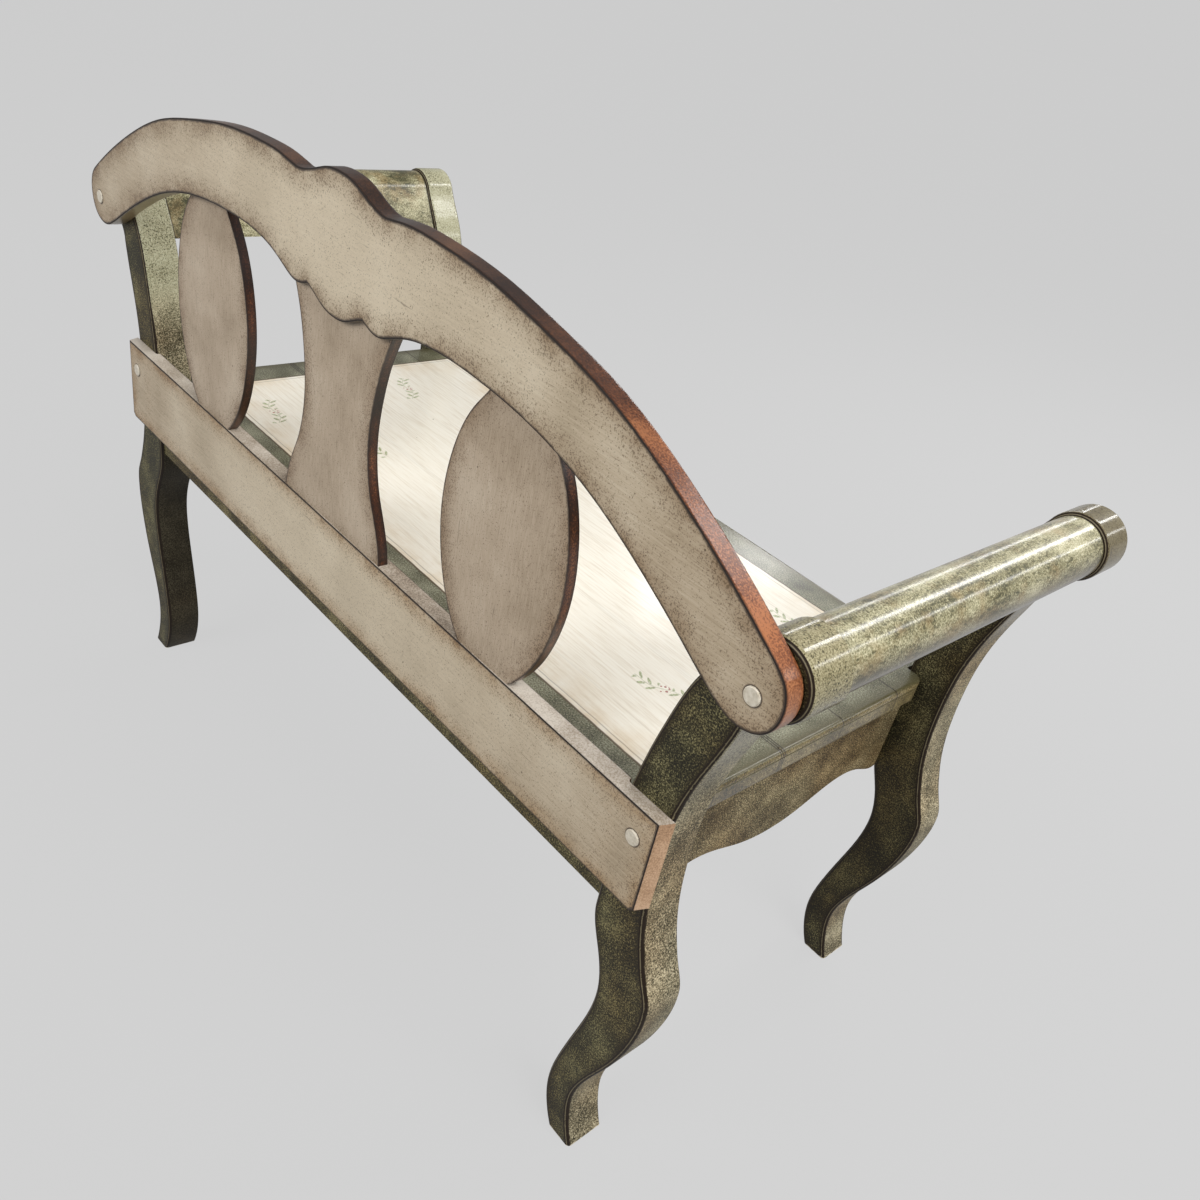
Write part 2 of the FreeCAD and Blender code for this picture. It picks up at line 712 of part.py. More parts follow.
# Lower edge of a shaped apron from one end to the other
def apron_edge(start, end, depth):
    half = (end - start) / 2
    rising = [(start + u * half, seat_bottom - v * depth) for u, v in apron_edge_shares]
    falling = [(end - u * half, seat_bottom - v * depth) for u, v in apron_edge_shares[:-1]]
    return rising + falling[::-1]


def shaped_apron_outline(start, end, depth):
    edge = apron_edge(start, end, depth)
    return [
        spline(edge), line(edge[-1], (end, seat_bottom)),
        line((end, seat_bottom), (start, seat_bottom)), line((start, seat_bottom), edge[0]),
    ]


# Side aprons under the seat, between the front and back legs
for side_name, side in SIDES:
    body = new_body(f"side_apron_{side_name}")
    face = apron_inner if side > 0 else -apron_outer
    outer = side * apron_outer
    outline = new_sketch(body, "apron_outline", "YZ_Plane", face, shaped_apron_outline(
        front_leg_back_y, back_leg_front_y, size("side_apron_depth")))
    add_pad(body, "apron_board", outline, "sizes.apron_thickness")
    ease(body, "apron_front_bevel", "Chamfer",
         lambda box: near(box.YMax, front_leg_back_y) and near(box.XMin, outer) and near(box.XMax, outer),
         "sizes.apron_end_bevel")

# Back apron, straight, against the front of the back rail
back_apron = new_body("back_apron")
bottom = seat_bottom - size("back_apron_depth")
outline = new_sketch(back_apron, "apron_outline", "XZ_Plane", -rail_front_y, polygon([
    (-leg_inner, bottom), (leg_inner, bottom), (leg_inner, seat_bottom), (-leg_inner, seat_bottom)]))
add_pad(back_apron, "apron_board", outline, "sizes.apron_thickness")

# Front apron, shaped like the side aprons and set back under the seat's front edge
front_apron = new_body("front_apron")
outline = new_sketch(front_apron, "apron_outline", "XZ_Plane", -front_apron_back_y, shaped_apron_outline(
    -leg_inner, leg_inner, size("front_apron_depth")))
add_pad(front_apron, "apron_board", outline, "sizes.apron_thickness")

# Dowel holes in the ends of the back and front aprons
for body, near_y, depth in (
        (back_apron, back_apron_front_y, size("back_apron_depth")),
        (front_apron, front_apron_front_y, size("front_apron_depth"))):
    for side_name, side in SIDES:
        places = [(near_y + size("apron_thickness") / 2, seat_bottom - share * depth)
                  for share in apron_dowel_shares]
        drill(body, f"dowel_holes_{side_name}", "YZ_Plane", side * leg_inner, places,
              "sizes.apron_dowel_radius + sizes.fit_clearance",
              "sizes.apron_dowel_tail + sizes.fit_clearance", side < 0)

# Corner blocks, fitted round the legs inside the aprons
for end in ("back", "front"):
    for side_name, side in SIDES:
        turn = 1 if end == "back" else -1
        apron_face = back_apron_front_y if end == "back" else front_apron_back_y
        leg_face = back_leg_front_y if end == "back" else front_leg_back_y
        body = new_body(f"corner_block_{end}_{side_name}")
        bottom = seat_bottom - size("block_height")
        plan = new_sketch(body, "block_plan", "XY_Plane", bottom, polygon(mirrored([
            (leg_inner, apron_face), (leg_inner, leg_face), (apron_inner, leg_face),
            (apron_inner, leg_face - turn * size("block_tail")),
            (apron_inner - size("block_reach"), apron_face),
        ], side)))
        add_pad(body, "block", plan, "sizes.block_height")
        drill(body, "seat_screw_hole", "XY_Plane", bottom, [seat_screw_place(end, side)],
              "sizes.screw_shank_radius + sizes.fit_clearance", "sizes.block_height", True)
        drill(body, "seat_screw_counterbore", "XY_Plane", bottom, [seat_screw_place(end, side)],
              "sizes.screw_head_radius + sizes.fit_clearance",
              "sizes.block_height - (sizes.seat_screw_length - sizes.seat_screw_bite)", True)
        place = [(block_screw_y(end), block_screw_z)]
        drill(body, "leg_screw_hole", "YZ_Plane", side * leg_inner, place,
              "sizes.screw_shank_radius + sizes.fit_clearance",
              "sizes.block_reach + sizes.apron_thickness", side < 0)
        head_x = side * (leg_inner - (size("block_screw_length") - size("block_screw_bite")))
        drill(body, "leg_screw_counterbore", "YZ_Plane", head_x, place,
              "sizes.screw_head_radius + sizes.fit_clearance", "sizes.block_reach", side < 0)


# A wood screw with a slotted flat head, its shank running from a seat along a direction
def screw(name, length, seat, direction):
    turn = FreeCAD.Rotation(Vector(0, 0, 1), direction)
    full = size_sum(length)
    shank = cylinder(name + "_shank", "sizes.screw_shank_radius",
                     " + ".join("sizes." + alias for alias in length) + " - sizes.screw_tip",
                     seat, direction)
    head = cylinder(name + "_head", "sizes.screw_head_radius", "sizes.screw_head_height",
                    seat - direction * size("screw_head_height"), direction)
    tip = doc.addObject("Part::Cone", name + "_tip")
    tip.setExpression("Radius1", "sizes.screw_shank_radius")
    tip.setExpression("Radius2", "sizes.screw_shank_radius / 8")
    tip.setExpression("Height", "sizes.screw_tip")
    tip.Placement = FreeCAD.Placement(seat + direction * (full - size("screw_tip")), turn)
    slot = doc.addObject("Part::Box", name + "_slot")
    slot.setExpression("Length", "2 * sizes.screw_head_radius + 2 * sizes.overrun")
    slot.setExpression("Width", "sizes.screw_slot_width")
    slot.setExpression("Height", "sizes.screw_slot_depth")
    corner = Vector(-(size("screw_head_radius") + size("overrun")), -size("screw_slot_width") / 2, 0)
    slot.Placement = FreeCAD.Placement(
        seat - direction * size("screw_head_height") + turn.multVec(corner), turn)
    solid = doc.addObject("Part::MultiFuse", name + "_solid")
    solid.Shapes = [shank, head, tip]
    whole = doc.addObject("Part::Cut", name)
    whole.Base = solid
    whole.Tool = slot
    return whole


def size_sum(aliases):
    return sum(size(alias) for alias in aliases)


# A wooden plug with an eased face
def plug(name, face, direction):
    rod = cylinder(name + "_rod", "sizes.plug_radius", "sizes.plug_length", face, direction)
    doc.recompute()
    ring = [number for number, edge in enumerate(rod.Shape.Edges, start=1)
            if edge.BoundBox.YMax - edge.BoundBox.YMin < tolerance and near(edge.BoundBox.YMax, face.y)]
    eased = doc.addObject("Part::Chamfer", name)
    eased.Base = rod
    eased.Edges = [(number, size("plug_edge"), size("plug_edge")) for number in ring]
    return eased


# Plugs and screws on the back: the plug stands a little proud and covers the screw head
inward = Vector(0, -1, 0)
for board, back_y, thickness, place in (
        ("crest", crest_back_y, "sizes.crest_thickness", crest_screw_place),
        ("rail", rail_back_y, "sizes.rail_thickness - sizes.rail_lap", rail_screw_place)):
    plugs = []
    screws = []
    for side_name, side in SIDES:
        u, v = place(side)
        plugs.append(plug(f"{board}_plug_{side_name}", Vector(u, back_y + size("plug_proud"), v), inward))
        covered = size("plug_length") - size("plug_proud") + size("fit_clearance")
        seat = Vector(u, back_y - covered - size("screw_head_height"), v)
        bite = back_leg_back_y - size("back_screw_bite")
        shank = cylinder(f"{board}_screw_shank_{side_name}", "sizes.screw_shank_radius",
                         thickness + " - sizes.plug_length + sizes.plug_proud"
                         " - sizes.fit_clearance - sizes.screw_head_height + sizes.back_screw_bite"
                         " - sizes.screw_tip", seat, inward)
        head = cylinder(f"{board}_screw_head_{side_name}", "sizes.screw_head_radius",
                        "sizes.screw_head_height", seat - inward * size("screw_head_height"), inward)
        tip = doc.addObject("Part::Cone", f"{board}_screw_tip_{side_name}")
        tip.setExpression("Radius1", "sizes.screw_shank_radius")
        tip.setExpression("Radius2", "sizes.screw_shank_radius / 8")
        tip.setExpression("Height", "sizes.screw_tip")
        tip.Placement = FreeCAD.Placement(Vector(u, bite + size("screw_tip"), v),
                                          FreeCAD.Rotation(Vector(0, 0, 1), inward))
        whole = doc.addObject("Part::MultiFuse", f"{board}_screw_{side_name}")
        whole.Shapes = [shank, head, tip]
        screws.append(whole)
    group(f"{board}_plugs", plugs)
    group(f"{board}_screws", screws)

# Screws through the corner blocks: one into each leg and one up into the seat
leg_screws = []
seat_screws = []
for end in ("back", "front"):
    for side_name, side in SIDES:
        reach = size("block_screw_length") - size("block_screw_bite")
        seat = Vector(side * (leg_inner - reach), block_screw_y(end), block_screw_z)
        leg_screws.append(screw(f"leg_screw_{end}_{side_name}", ["block_screw_length"], seat,
                                Vector(side, 0, 0)))
        u, v = seat_screw_place(end, side)
        rise = size("seat_screw_length") - size("seat_screw_bite")
        seat_screws.append(screw(f"seat_screw_{end}_{side_name}", ["seat_screw_length"],
                                 Vector(u, v, seat_bottom - rise), Vector(0, 0, 1)))
group("corner_block_screws", leg_screws)
group("seat_screws", seat_screws)

# Dowels between arm rolls and leg heads
arm_dowels = []
for side_name, side in SIDES:
    for end, face_y, forward in (("back", back_leg_front_y, 1), ("front", front_leg_back_y, -1)):
        base = Vector(side * arm_setting, face_y - forward * size("arm_dowel_tail"),
                      size("arm_height"))
        arm_dowels.append(cylinder(f"arm_dowel_{end}_{side_name}", "sizes.arm_dowel_radius",
                                   "sizes.arm_dowel_tail + sizes.arm_dowel_bite", base,
                                   Vector(0, forward, 0)))
group("arm_dowels", arm_dowels)

# Dowels between the legs and the back and front aprons
for end, near_y, depth in (
        ("back", back_apron_front_y, size("back_apron_depth")),
        ("front", front_apron_front_y, size("front_apron_depth"))):
    dowels = []
    for side_name, side in SIDES:
        for number, share in enumerate(apron_dowel_shares, start=1):
            base = Vector(side * (leg_inner - size("apron_dowel_tail")),
                          near_y + size("apron_thickness") / 2, seat_bottom - share * depth)
            dowels.append(cylinder(f"{end}_apron_dowel_{side_name}_{number}", "sizes.apron_dowel_radius",
                                   "sizes.apron_dowel_tail + sizes.apron_dowel_bite", base,
                                   Vector(side, 0, 0)))
    group(f"{end}_apron_dowels", dowels)

# Every feature has to be sound before anything is written
doc.recompute()
for entry in doc.Objects:
    if "Invalid" in entry.State or "Error" in entry.State:
        raise ValueError(entry.Label + " failed: " + ", ".join(entry.State))
for node in nodes:
    if node.Shape.isNull() or not node.Shape.isValid() or not node.Shape.Solids:
        raise ValueError(node.Label + " has no sound solid")

os.makedirs("parts", exist_ok=True)
for node in nodes:
    node.Shape.exportStep(f"parts/{node.Label}.step")
    box = node.Shape.BoundBox
    print(f"{node.Label}: {len(node.Shape.Solids)} solid(s), "
          f"{box.XLength:.1f} x {box.YLength:.1f} x {box.ZLength:.1f} mm")
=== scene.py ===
# %% [markdown]
# # An accent bench in antiqued paint
# The bench is a wooden settle: a shaped crest over three splats, rolled arms between scrolled legs,
# and a planked seat. The CAD solids already have its shapes, so this lesson is about its finishes:
# cream paint rubbed back with brown glaze, copper-brown edges, and speckled olive paint under
# clear lacquer. Everything is in metres; the bench looks towards -Y and its long side is X.

# %% Load the solids
import json
import math

import bmesh
import bpy
from mathutils import Matrix, Vector
from mathutils.kdtree import KDTree

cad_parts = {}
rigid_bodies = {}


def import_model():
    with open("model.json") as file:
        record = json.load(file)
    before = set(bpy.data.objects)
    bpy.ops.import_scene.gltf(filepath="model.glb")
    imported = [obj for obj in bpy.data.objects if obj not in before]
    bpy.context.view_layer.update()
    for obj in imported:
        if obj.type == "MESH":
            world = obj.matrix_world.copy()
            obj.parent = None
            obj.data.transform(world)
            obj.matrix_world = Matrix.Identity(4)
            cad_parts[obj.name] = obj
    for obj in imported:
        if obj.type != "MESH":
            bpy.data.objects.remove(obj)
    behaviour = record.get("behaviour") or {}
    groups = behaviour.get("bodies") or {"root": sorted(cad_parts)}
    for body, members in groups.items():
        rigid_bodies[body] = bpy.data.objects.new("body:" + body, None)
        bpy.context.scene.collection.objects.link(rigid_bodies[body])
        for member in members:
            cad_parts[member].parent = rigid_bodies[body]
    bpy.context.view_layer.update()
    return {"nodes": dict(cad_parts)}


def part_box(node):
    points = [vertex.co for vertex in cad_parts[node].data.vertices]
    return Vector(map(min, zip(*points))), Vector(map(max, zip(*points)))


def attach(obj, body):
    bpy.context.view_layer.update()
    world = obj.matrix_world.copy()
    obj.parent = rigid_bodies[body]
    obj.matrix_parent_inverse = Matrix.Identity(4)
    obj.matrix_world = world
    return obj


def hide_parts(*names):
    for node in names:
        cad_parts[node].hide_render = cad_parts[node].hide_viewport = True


for old in list(bpy.data.objects):
    bpy.data.objects.remove(old)

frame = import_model()
nodes = frame["nodes"]

# %% [markdown]
# ## Colour and nodes
# A paint is named by its screen colour, so one function turns that into the linear light that
# shaders use. Another adds any node with its settings and links, and a few short ones on top of it
# stand for the steps that a painted material repeats: a noise, a sum, a fade, a ramp and a mix.
# The scale of a noise counts its features in a metre, so 1 / (2 * MM) draws them 2 mm apart.

# %% Colour and node helpers
MM = 0.001
# The sockets of a Mix node that mixes colours, and three plain levels in linear light
MIX_A, MIX_B, MIX_OUT = 6, 7, 2
BLACK, GREY, WHITE = (0, 0, 0, 1), (0.5, 0.5, 0.5, 1), (1, 1, 1, 1)


def linear(code):
    """Linear colour of an sRGB hex value."""
    parts = [int(code[i:i + 2], 16) / 255 for i in (0, 2, 4)]
    return (*(c / 12.92 if c <= 0.04045 else ((c + 0.055) / 1.055) ** 2.4 for c in parts), 1.0)


def output(source):
    """The socket that carries a node's result; a socket stands for itself."""
    if isinstance(source, bpy.types.NodeSocket):
        return source
    mixes_colours = source.bl_idname == "ShaderNodeMix" and source.data_type == "RGBA"
    return source.outputs[MIX_OUT if mixes_colours else 0]


def add(tree, kind, sockets=None, stops=None, **settings):
    """A node with its settings, its sockets (values, hex colours, nodes or links) and its stops."""
    made = tree.nodes.new("ShaderNode" + kind)
    for name, value in settings.items():
        setattr(made, name, value)
    for name, value in (sockets or {}).items():
        if isinstance(value, (bpy.types.Node, bpy.types.NodeSocket)):
            tree.links.new(output(value), made.inputs[name])
        else:
            made.inputs[name].default_value = linear(value) if isinstance(value, str) else value
    if stops:
        points = made.color_ramp.elements
        points.remove(points[1])
        for index, (position, tone) in enumerate(stops):
            point = points.new(position) if index else points[0]
            point.position, point.color = position, linear(tone) if isinstance(tone, str) else tone
    return made


def noise(tree, place, scale, detail, roughness=0.5, distortion=0.0):
    """A noise of one scale, or of a scale for each axis."""
    if isinstance(scale, tuple):
        place, scale = add(tree, "Mapping", {"Vector": place, "Scale": scale}), 1.0
    return add(tree, "TexNoise", {"Vector": place, "Scale": scale, "Detail": detail,
                                  "Roughness": roughness, "Distortion": distortion})


def calc(tree, operation, *values, **settings):
    """One step of arithmetic."""
    return add(tree, "Math", dict(enumerate(values)), operation=operation, **settings)


def fade(tree, value, start, end, low=0.0, high=1.0, **settings):
    """From low where value is start to high where it is end."""
    return add(tree, "MapRange", {0: value, 1: start, 2: end, 3: low, 4: high}, **settings)


def ramp(tree, value, *stops):
    """Colours by value; a stop is its place and its colour."""
    return add(tree, "ValToRGB", {0: value}, stops)


def mix(tree, share, first, second, **settings):
    """A share of the second colour over the first."""
    return add(tree, "Mix", {0: share, MIX_A: first, MIX_B: second}, data_type="RGBA", **settings)


def parts_of(tree, vector):
    """The X, Y and Z of a vector, each as a socket."""
    return add(tree, "SeparateXYZ", {0: vector}).outputs[:3]


def stored(tree, name):
    """A number that the mesh itself carries."""
    return add(tree, "Attribute", attribute_name=name, attribute_type="GEOMETRY").outputs["Fac"]


def start_material(name):
    """A new material, its tree, its shader, and a surface's place and direction on the object."""
    material = bpy.data.materials.new(name)
    material.use_nodes = True
    made = material.node_tree
    made.nodes.clear()
    shader = add(made, "BsdfPrincipled")
    add(made, "OutputMaterial", {"Surface": shader})
    source = add(made, "TexCoord")
    return material, made, shader, source.outputs["Object"], source.outputs["Normal"]


def paint_with(material, pieces):
    """Give pieces one material in place of any that they have."""
    for painted in pieces:
        painted.data.materials.clear()
        painted.data.materials.append(material)


def place_object(name, data):
    """A new object of the scene."""
    made = bpy.data.objects.new(name, data)
    bpy.context.scene.collection.objects.link(made)
    return made


print("cream in linear light:", [round(c, 3) for c in linear("B8AA94")])

# %% [markdown]
# ## Camera
# The photograph was taken from behind the bench's left end, a little above it and tilted. The
# camera's axes are built from its azimuth, elevation and roll, and a small shift puts the optical
# centre where it was in the uncropped picture.

# %% Camera
PICTURE_SIDE = 1200
FOCAL_LENGTH = 1066.4
OPTICAL_CENTRE = (605.6, 643.1)
AZIMUTH, ELEVATION, ROLL = (math.radians(a) for a in (220.89, 34.05, 13.24))
EYE = (-0.88484, 0.78617, 1.09025)
SENSOR = 36.0

back = Vector((math.sin(AZIMUTH) * math.cos(ELEVATION),
               -math.cos(AZIMUTH) * math.cos(ELEVATION), math.sin(ELEVATION)))
level = (-back).cross(Vector((0, 0, 1))).normalized()
upright = level.cross(-back)
across = math.cos(ROLL) * level + math.sin(ROLL) * upright
up = -math.sin(ROLL) * level + math.cos(ROLL) * upright

camera = place_object("camera", bpy.data.cameras.new("camera"))
bpy.context.scene.camera = camera
turn = Matrix((across, up, back)).transposed().to_4x4()
camera.matrix_world = Matrix.Translation(EYE) @ turn
camera.data.sensor_width = SENSOR
camera.data.lens = FOCAL_LENGTH * SENSOR / PICTURE_SIDE
camera.data.shift_x = (PICTURE_SIDE / 2 - OPTICAL_CENTRE[0]) / PICTURE_SIDE
camera.data.shift_y = (OPTICAL_CENTRE[1] - PICTURE_SIDE / 2) / PICTURE_SIDE
camera.data.clip_start = 0.05
print("lens:", round(camera.data.lens, 2), "mm")

# %% [markdown]
# ## Floor and light
# The picture has a plain pale grey ground. The floor gives most of that grey to the camera as its
# own glow and takes the rest from the lamps, so the bench keeps its shadow. The light that it sends
# back to the bench is that of a darker grey, which leaves the undersides deep. Large soft lamps
# stand above and beside the bench, and narrow ones lie along the arms, because polished round wood
# shows them as streaks.

# %% Floor
FLOOR_REACH = 30.0
SHADOW_SHARE = 0.05
WALL_GREY, GLOW_GREY = "CCCCCC", "CFCFCF"
SEEN_GREY, BOUNCE_GREY = "E7E7E7", "504E4A"

floor_mesh = bpy.data.meshes.new("floor")
floor_mesh.from_pydata([(sx * FLOOR_REACH, sy * FLOOR_REACH, 0) for sx, sy in
                        ((-1, -1), (1, -1), (1, 1), (-1, 1))], [], [(0, 1, 2, 3)])
floor = place_object("floor", floor_mesh)

ground = bpy.data.materials.new("pale_ground")
ground.use_nodes = True
tree = ground.node_tree
tree.nodes.clear()
ray = add(tree, "LightPath").outputs
seen = calc(tree, "MAXIMUM", ray["Is Camera Ray"], ray["Is Glossy Ray"])
seen = calc(tree, "MAXIMUM", seen, ray["Is Transmission Ray"])
grey = add(tree, "BsdfDiffuse", {"Color": mix(tree, seen, BOUNCE_GREY, SEEN_GREY)})
glow = add(tree, "Emission", {"Color": GLOW_GREY, "Strength": 1.0})
glowing = calc(tree, "MULTIPLY", seen, 1 - SHADOW_SHARE)
add(tree, "OutputMaterial", {"Surface": add(tree, "MixShader", {0: glowing, 1: grey, 2: glow})})
floor_mesh.materials.append(ground)
print("floor:", 2 * FLOOR_REACH, "m square")

# %% World and lamps
AIR_LIGHT = 0.3
ARM = (-0.5705, 0, 0.6735)

world =bpy.data.worlds.new("studio")
bpy.context.scene.world = world
world.use_nodes = True
tree = world.node_tree
tree.nodes.clear()
ray = add(tree, "LightPath").outputs
air = add(tree, "Background", {"Color": WHITE, "Strength": AIR_LIGHT})
wall = add(tree, "Background", {"Color": WALL_GREY, "Strength": 1.0})
both = add(tree, "MixShader", {0: ray["Is Camera Ray"], 1: air, 2: wall})
add(tree, "OutputWorld", {"Surface": both})


def lamp(name, place, aim, size, watts, along_y=False, mirrored=True):
    """A soft rectangular lamp at place, turned towards aim; a strip keeps its long side along Y."""
    data = bpy.data.lights.new(name, "AREA")
    data.shape, data.size, data.size_y = "RECTANGLE", size[0], size[1]
    data.energy = watts
    lit = place_object(name, data)
    facing = Vector(place) - Vector(aim)
    if along_y:
        facing.y = 0
        z = facing.normalized()
        y = Vector((0, 1, 0))
        turned = Matrix((y.cross(z), y, z)).transposed()
    else:
        turned = facing.to_track_quat("Z", "Y").to_matrix()
    lit.matrix_world = Matrix.Translation(place) @ turned.to_4x4()
    lit.visible_camera = False
    lit.visible_glossy = mirrored


lamp("key", (-2.3, 0.2, 2.6), (0, 0, 0.5), (1.8, 1.8), 88, mirrored=False)
lamp("behind", (0.2, 3.0, 2.2), (0.1, 0.2, 0.5), (2.2, 1.6), 70)
lamp("front", (0.6, -2.3, 2.1), (-0.3, 0, 0.45), (1.1, 1.1), 16, mirrored=False)
lamp("strip_above", (-0.62, -2.3, 2.17), ARM, (0.26, 2.2), 30, along_y=True)
lamp("strip_left", (-1.68, -2.3, 1.68), ARM, (0.12, 2.2), 11, along_y=True)
lamp("strip_right", (0.75, -2.3, 1.38), ARM, (0.13, 2.2), 10, along_y=True)

# %% [markdown]
# ## Sawn boards with a measured rim
# Glaze that is wiped over a board stays towards the rim of its flat face, so the paint has to know
# how far each point is from that rim. A copy of each sawn board is merged, cut by a grid of planes
# and given that distance as an attribute, which the materials read, beside one that marks the sawn
# faces. The copies keep the exact shape of the solids that they stand for.

# %% Copies of the boards and legs
RIM_GRID = 8 * MM
SAMPLE_STEP = 2 * MM
SMALL_HOLE = 60 * MM
MERGE, ON_PLANE = 0.01 * MM, 0.02 * MM
EDGE_TILT = 0.03
SHARP = math.radians(32)


def face_kind(face, planes):
    """A sawn face (0), a rounding (1) or an edge (2) of a board between two planes of y."""
    for y in planes:
        if all(abs(vert.co.y - y) < ON_PLANE for vert in face.verts):
            return 0
    return 2 if abs(face.normal.y) < EDGE_TILT else 1


def rim_lines(made, planes):
    """The edges round the sawn faces (+-Y), without those of small holes."""
    lines = {e for e in made.edges if sum(face_kind(f, planes) == 0 for f in e.link_faces) == 1}
    kept, waiting = [], set(lines)
    while waiting:
        reached, stack = [], [waiting.pop()]
        while stack:
            edge = stack.pop()
            reached.append(edge)
            for vert in edge.verts:
                for other in vert.link_edges:
                    if other in waiting:
                        waiting.discard(other)
                        stack.append(other)
        rising = [v.co.x + v.co.z for e in reached for v in e.verts]
        falling = [v.co.x - v.co.z for e in reached for v in e.verts]
        if max(max(rising) - min(rising), max(falling) - min(falling)) > SMALL_HOLE:
            kept += reached
    return kept


def rim_copy(name):
    """A copy of a solid that knows its sawn faces, and each point's distance from their rim."""
    made = bmesh.new()
    made.from_mesh(nodes[name].data)
    bmesh.ops.remove_doubles(made, verts=made.verts, dist=MERGE)
    bmesh.ops.recalc_face_normals(made, faces=made.faces)
    low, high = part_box(name)
    planes = (low[1], high[1])
    places = []
    for edge in rim_lines(made, planes):
        first, last = (v.co for v in edge.verts)
        steps = max(1, math.ceil((last - first).length / SAMPLE_STEP))
        places += [first.lerp(last, i / steps) for i in range(steps + 1)]
    near = KDTree(len(places))
    for index, place in enumerate(places):
        near.insert(place, index)
    near.balance()
    for axis, way in ((0, Vector((1, 0, 0))), (2, Vector((0, 0, 1)))):
        for step in range(1, int((high[axis] - low[axis]) / RIM_GRID) + 1):
            bmesh.ops.bisect_plane(made, geom=made.verts[:] + made.edges[:] + made.faces[:],
                                   dist=ON_PLANE, plane_co=way * (low[axis] + step * RIM_GRID),
                                   plane_no=way)
    rim = made.verts.layers.float.new("rim")
    sawn = made.faces.layers.float.new("sawn")
    for vert in made.verts:
        vert[rim] = near.find(vert.co)[2]
    kinds = {face: face_kind(face, planes) for face in made.faces}
    for face, kind in kinds.items():
        face.smooth = True
        face[sawn] = 1.0 if kind == 0 else 0.0
    for edge in made.edges:
        beside = {kinds[face] for face in edge.link_faces}
        edge.smooth = len(beside) == 1 and edge.calc_face_angle(0) < SHARP
    mesh = bpy.data.meshes.new(name + "_painted")
    made.to_mesh(mesh)
    made.free()
    piece = place_object(name + "_painted", mesh)
    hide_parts(name)
    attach(piece, "root")
    return piece


boards = {name: rim_copy(name) for name in
          ("crest_rail", "back_rail", "centre_splat", "oval_splat_left", "oval_splat_right")}
legs = [rim_copy(name) for name in nodes if "_leg_" in name]
for piece in list(boards.values()) + legs:
    print(piece.name, len(piece.data.polygons), "faces")

# %% [markdown]
# ## Cream paint rubbed with glaze
# The crest, the splats and the back rail were sprayed cream and then wiped with brown glaze, which
# stays in the brush marks, in scratches and as a fine stipple towards the rim. The sawn edges are
# painted copper brown, with a black line where the two meet. The mesh tells the material which
# faces are sawn, and the surface's own direction tells it the ends, the top and the underside.

# %% Cream boards
GRAIN_STEP, GRAIN_RUN = 1.0 * MM, 20 * MM
CREAM_DRIFT, GLAZE_DRIFT, EDGE_DRIFT, EDGE_SPECK = 11.0, 34.0, 14.0, 650.0
STIPPLE = 1.4 * MM
GLAZE_REACH = 26 * MM
LINE_FULL, LINE_GONE = 0.8 * MM, 2.2 * MM
RING_FULL, RING_GONE = 0.6 * MM, 1.8 * MM
SPECK_CELL = 26 * MM
SCRATCH_SHARE = 0.62
# Where a tone of a long board begins and where it is full, from the board's middle
PAINTED_LIGHT_MIDDLE, BRIGHTER_ENDS, DARK_TOP = (0.48, 0.1), (0.2, 0.55), (0.5, 0.25)


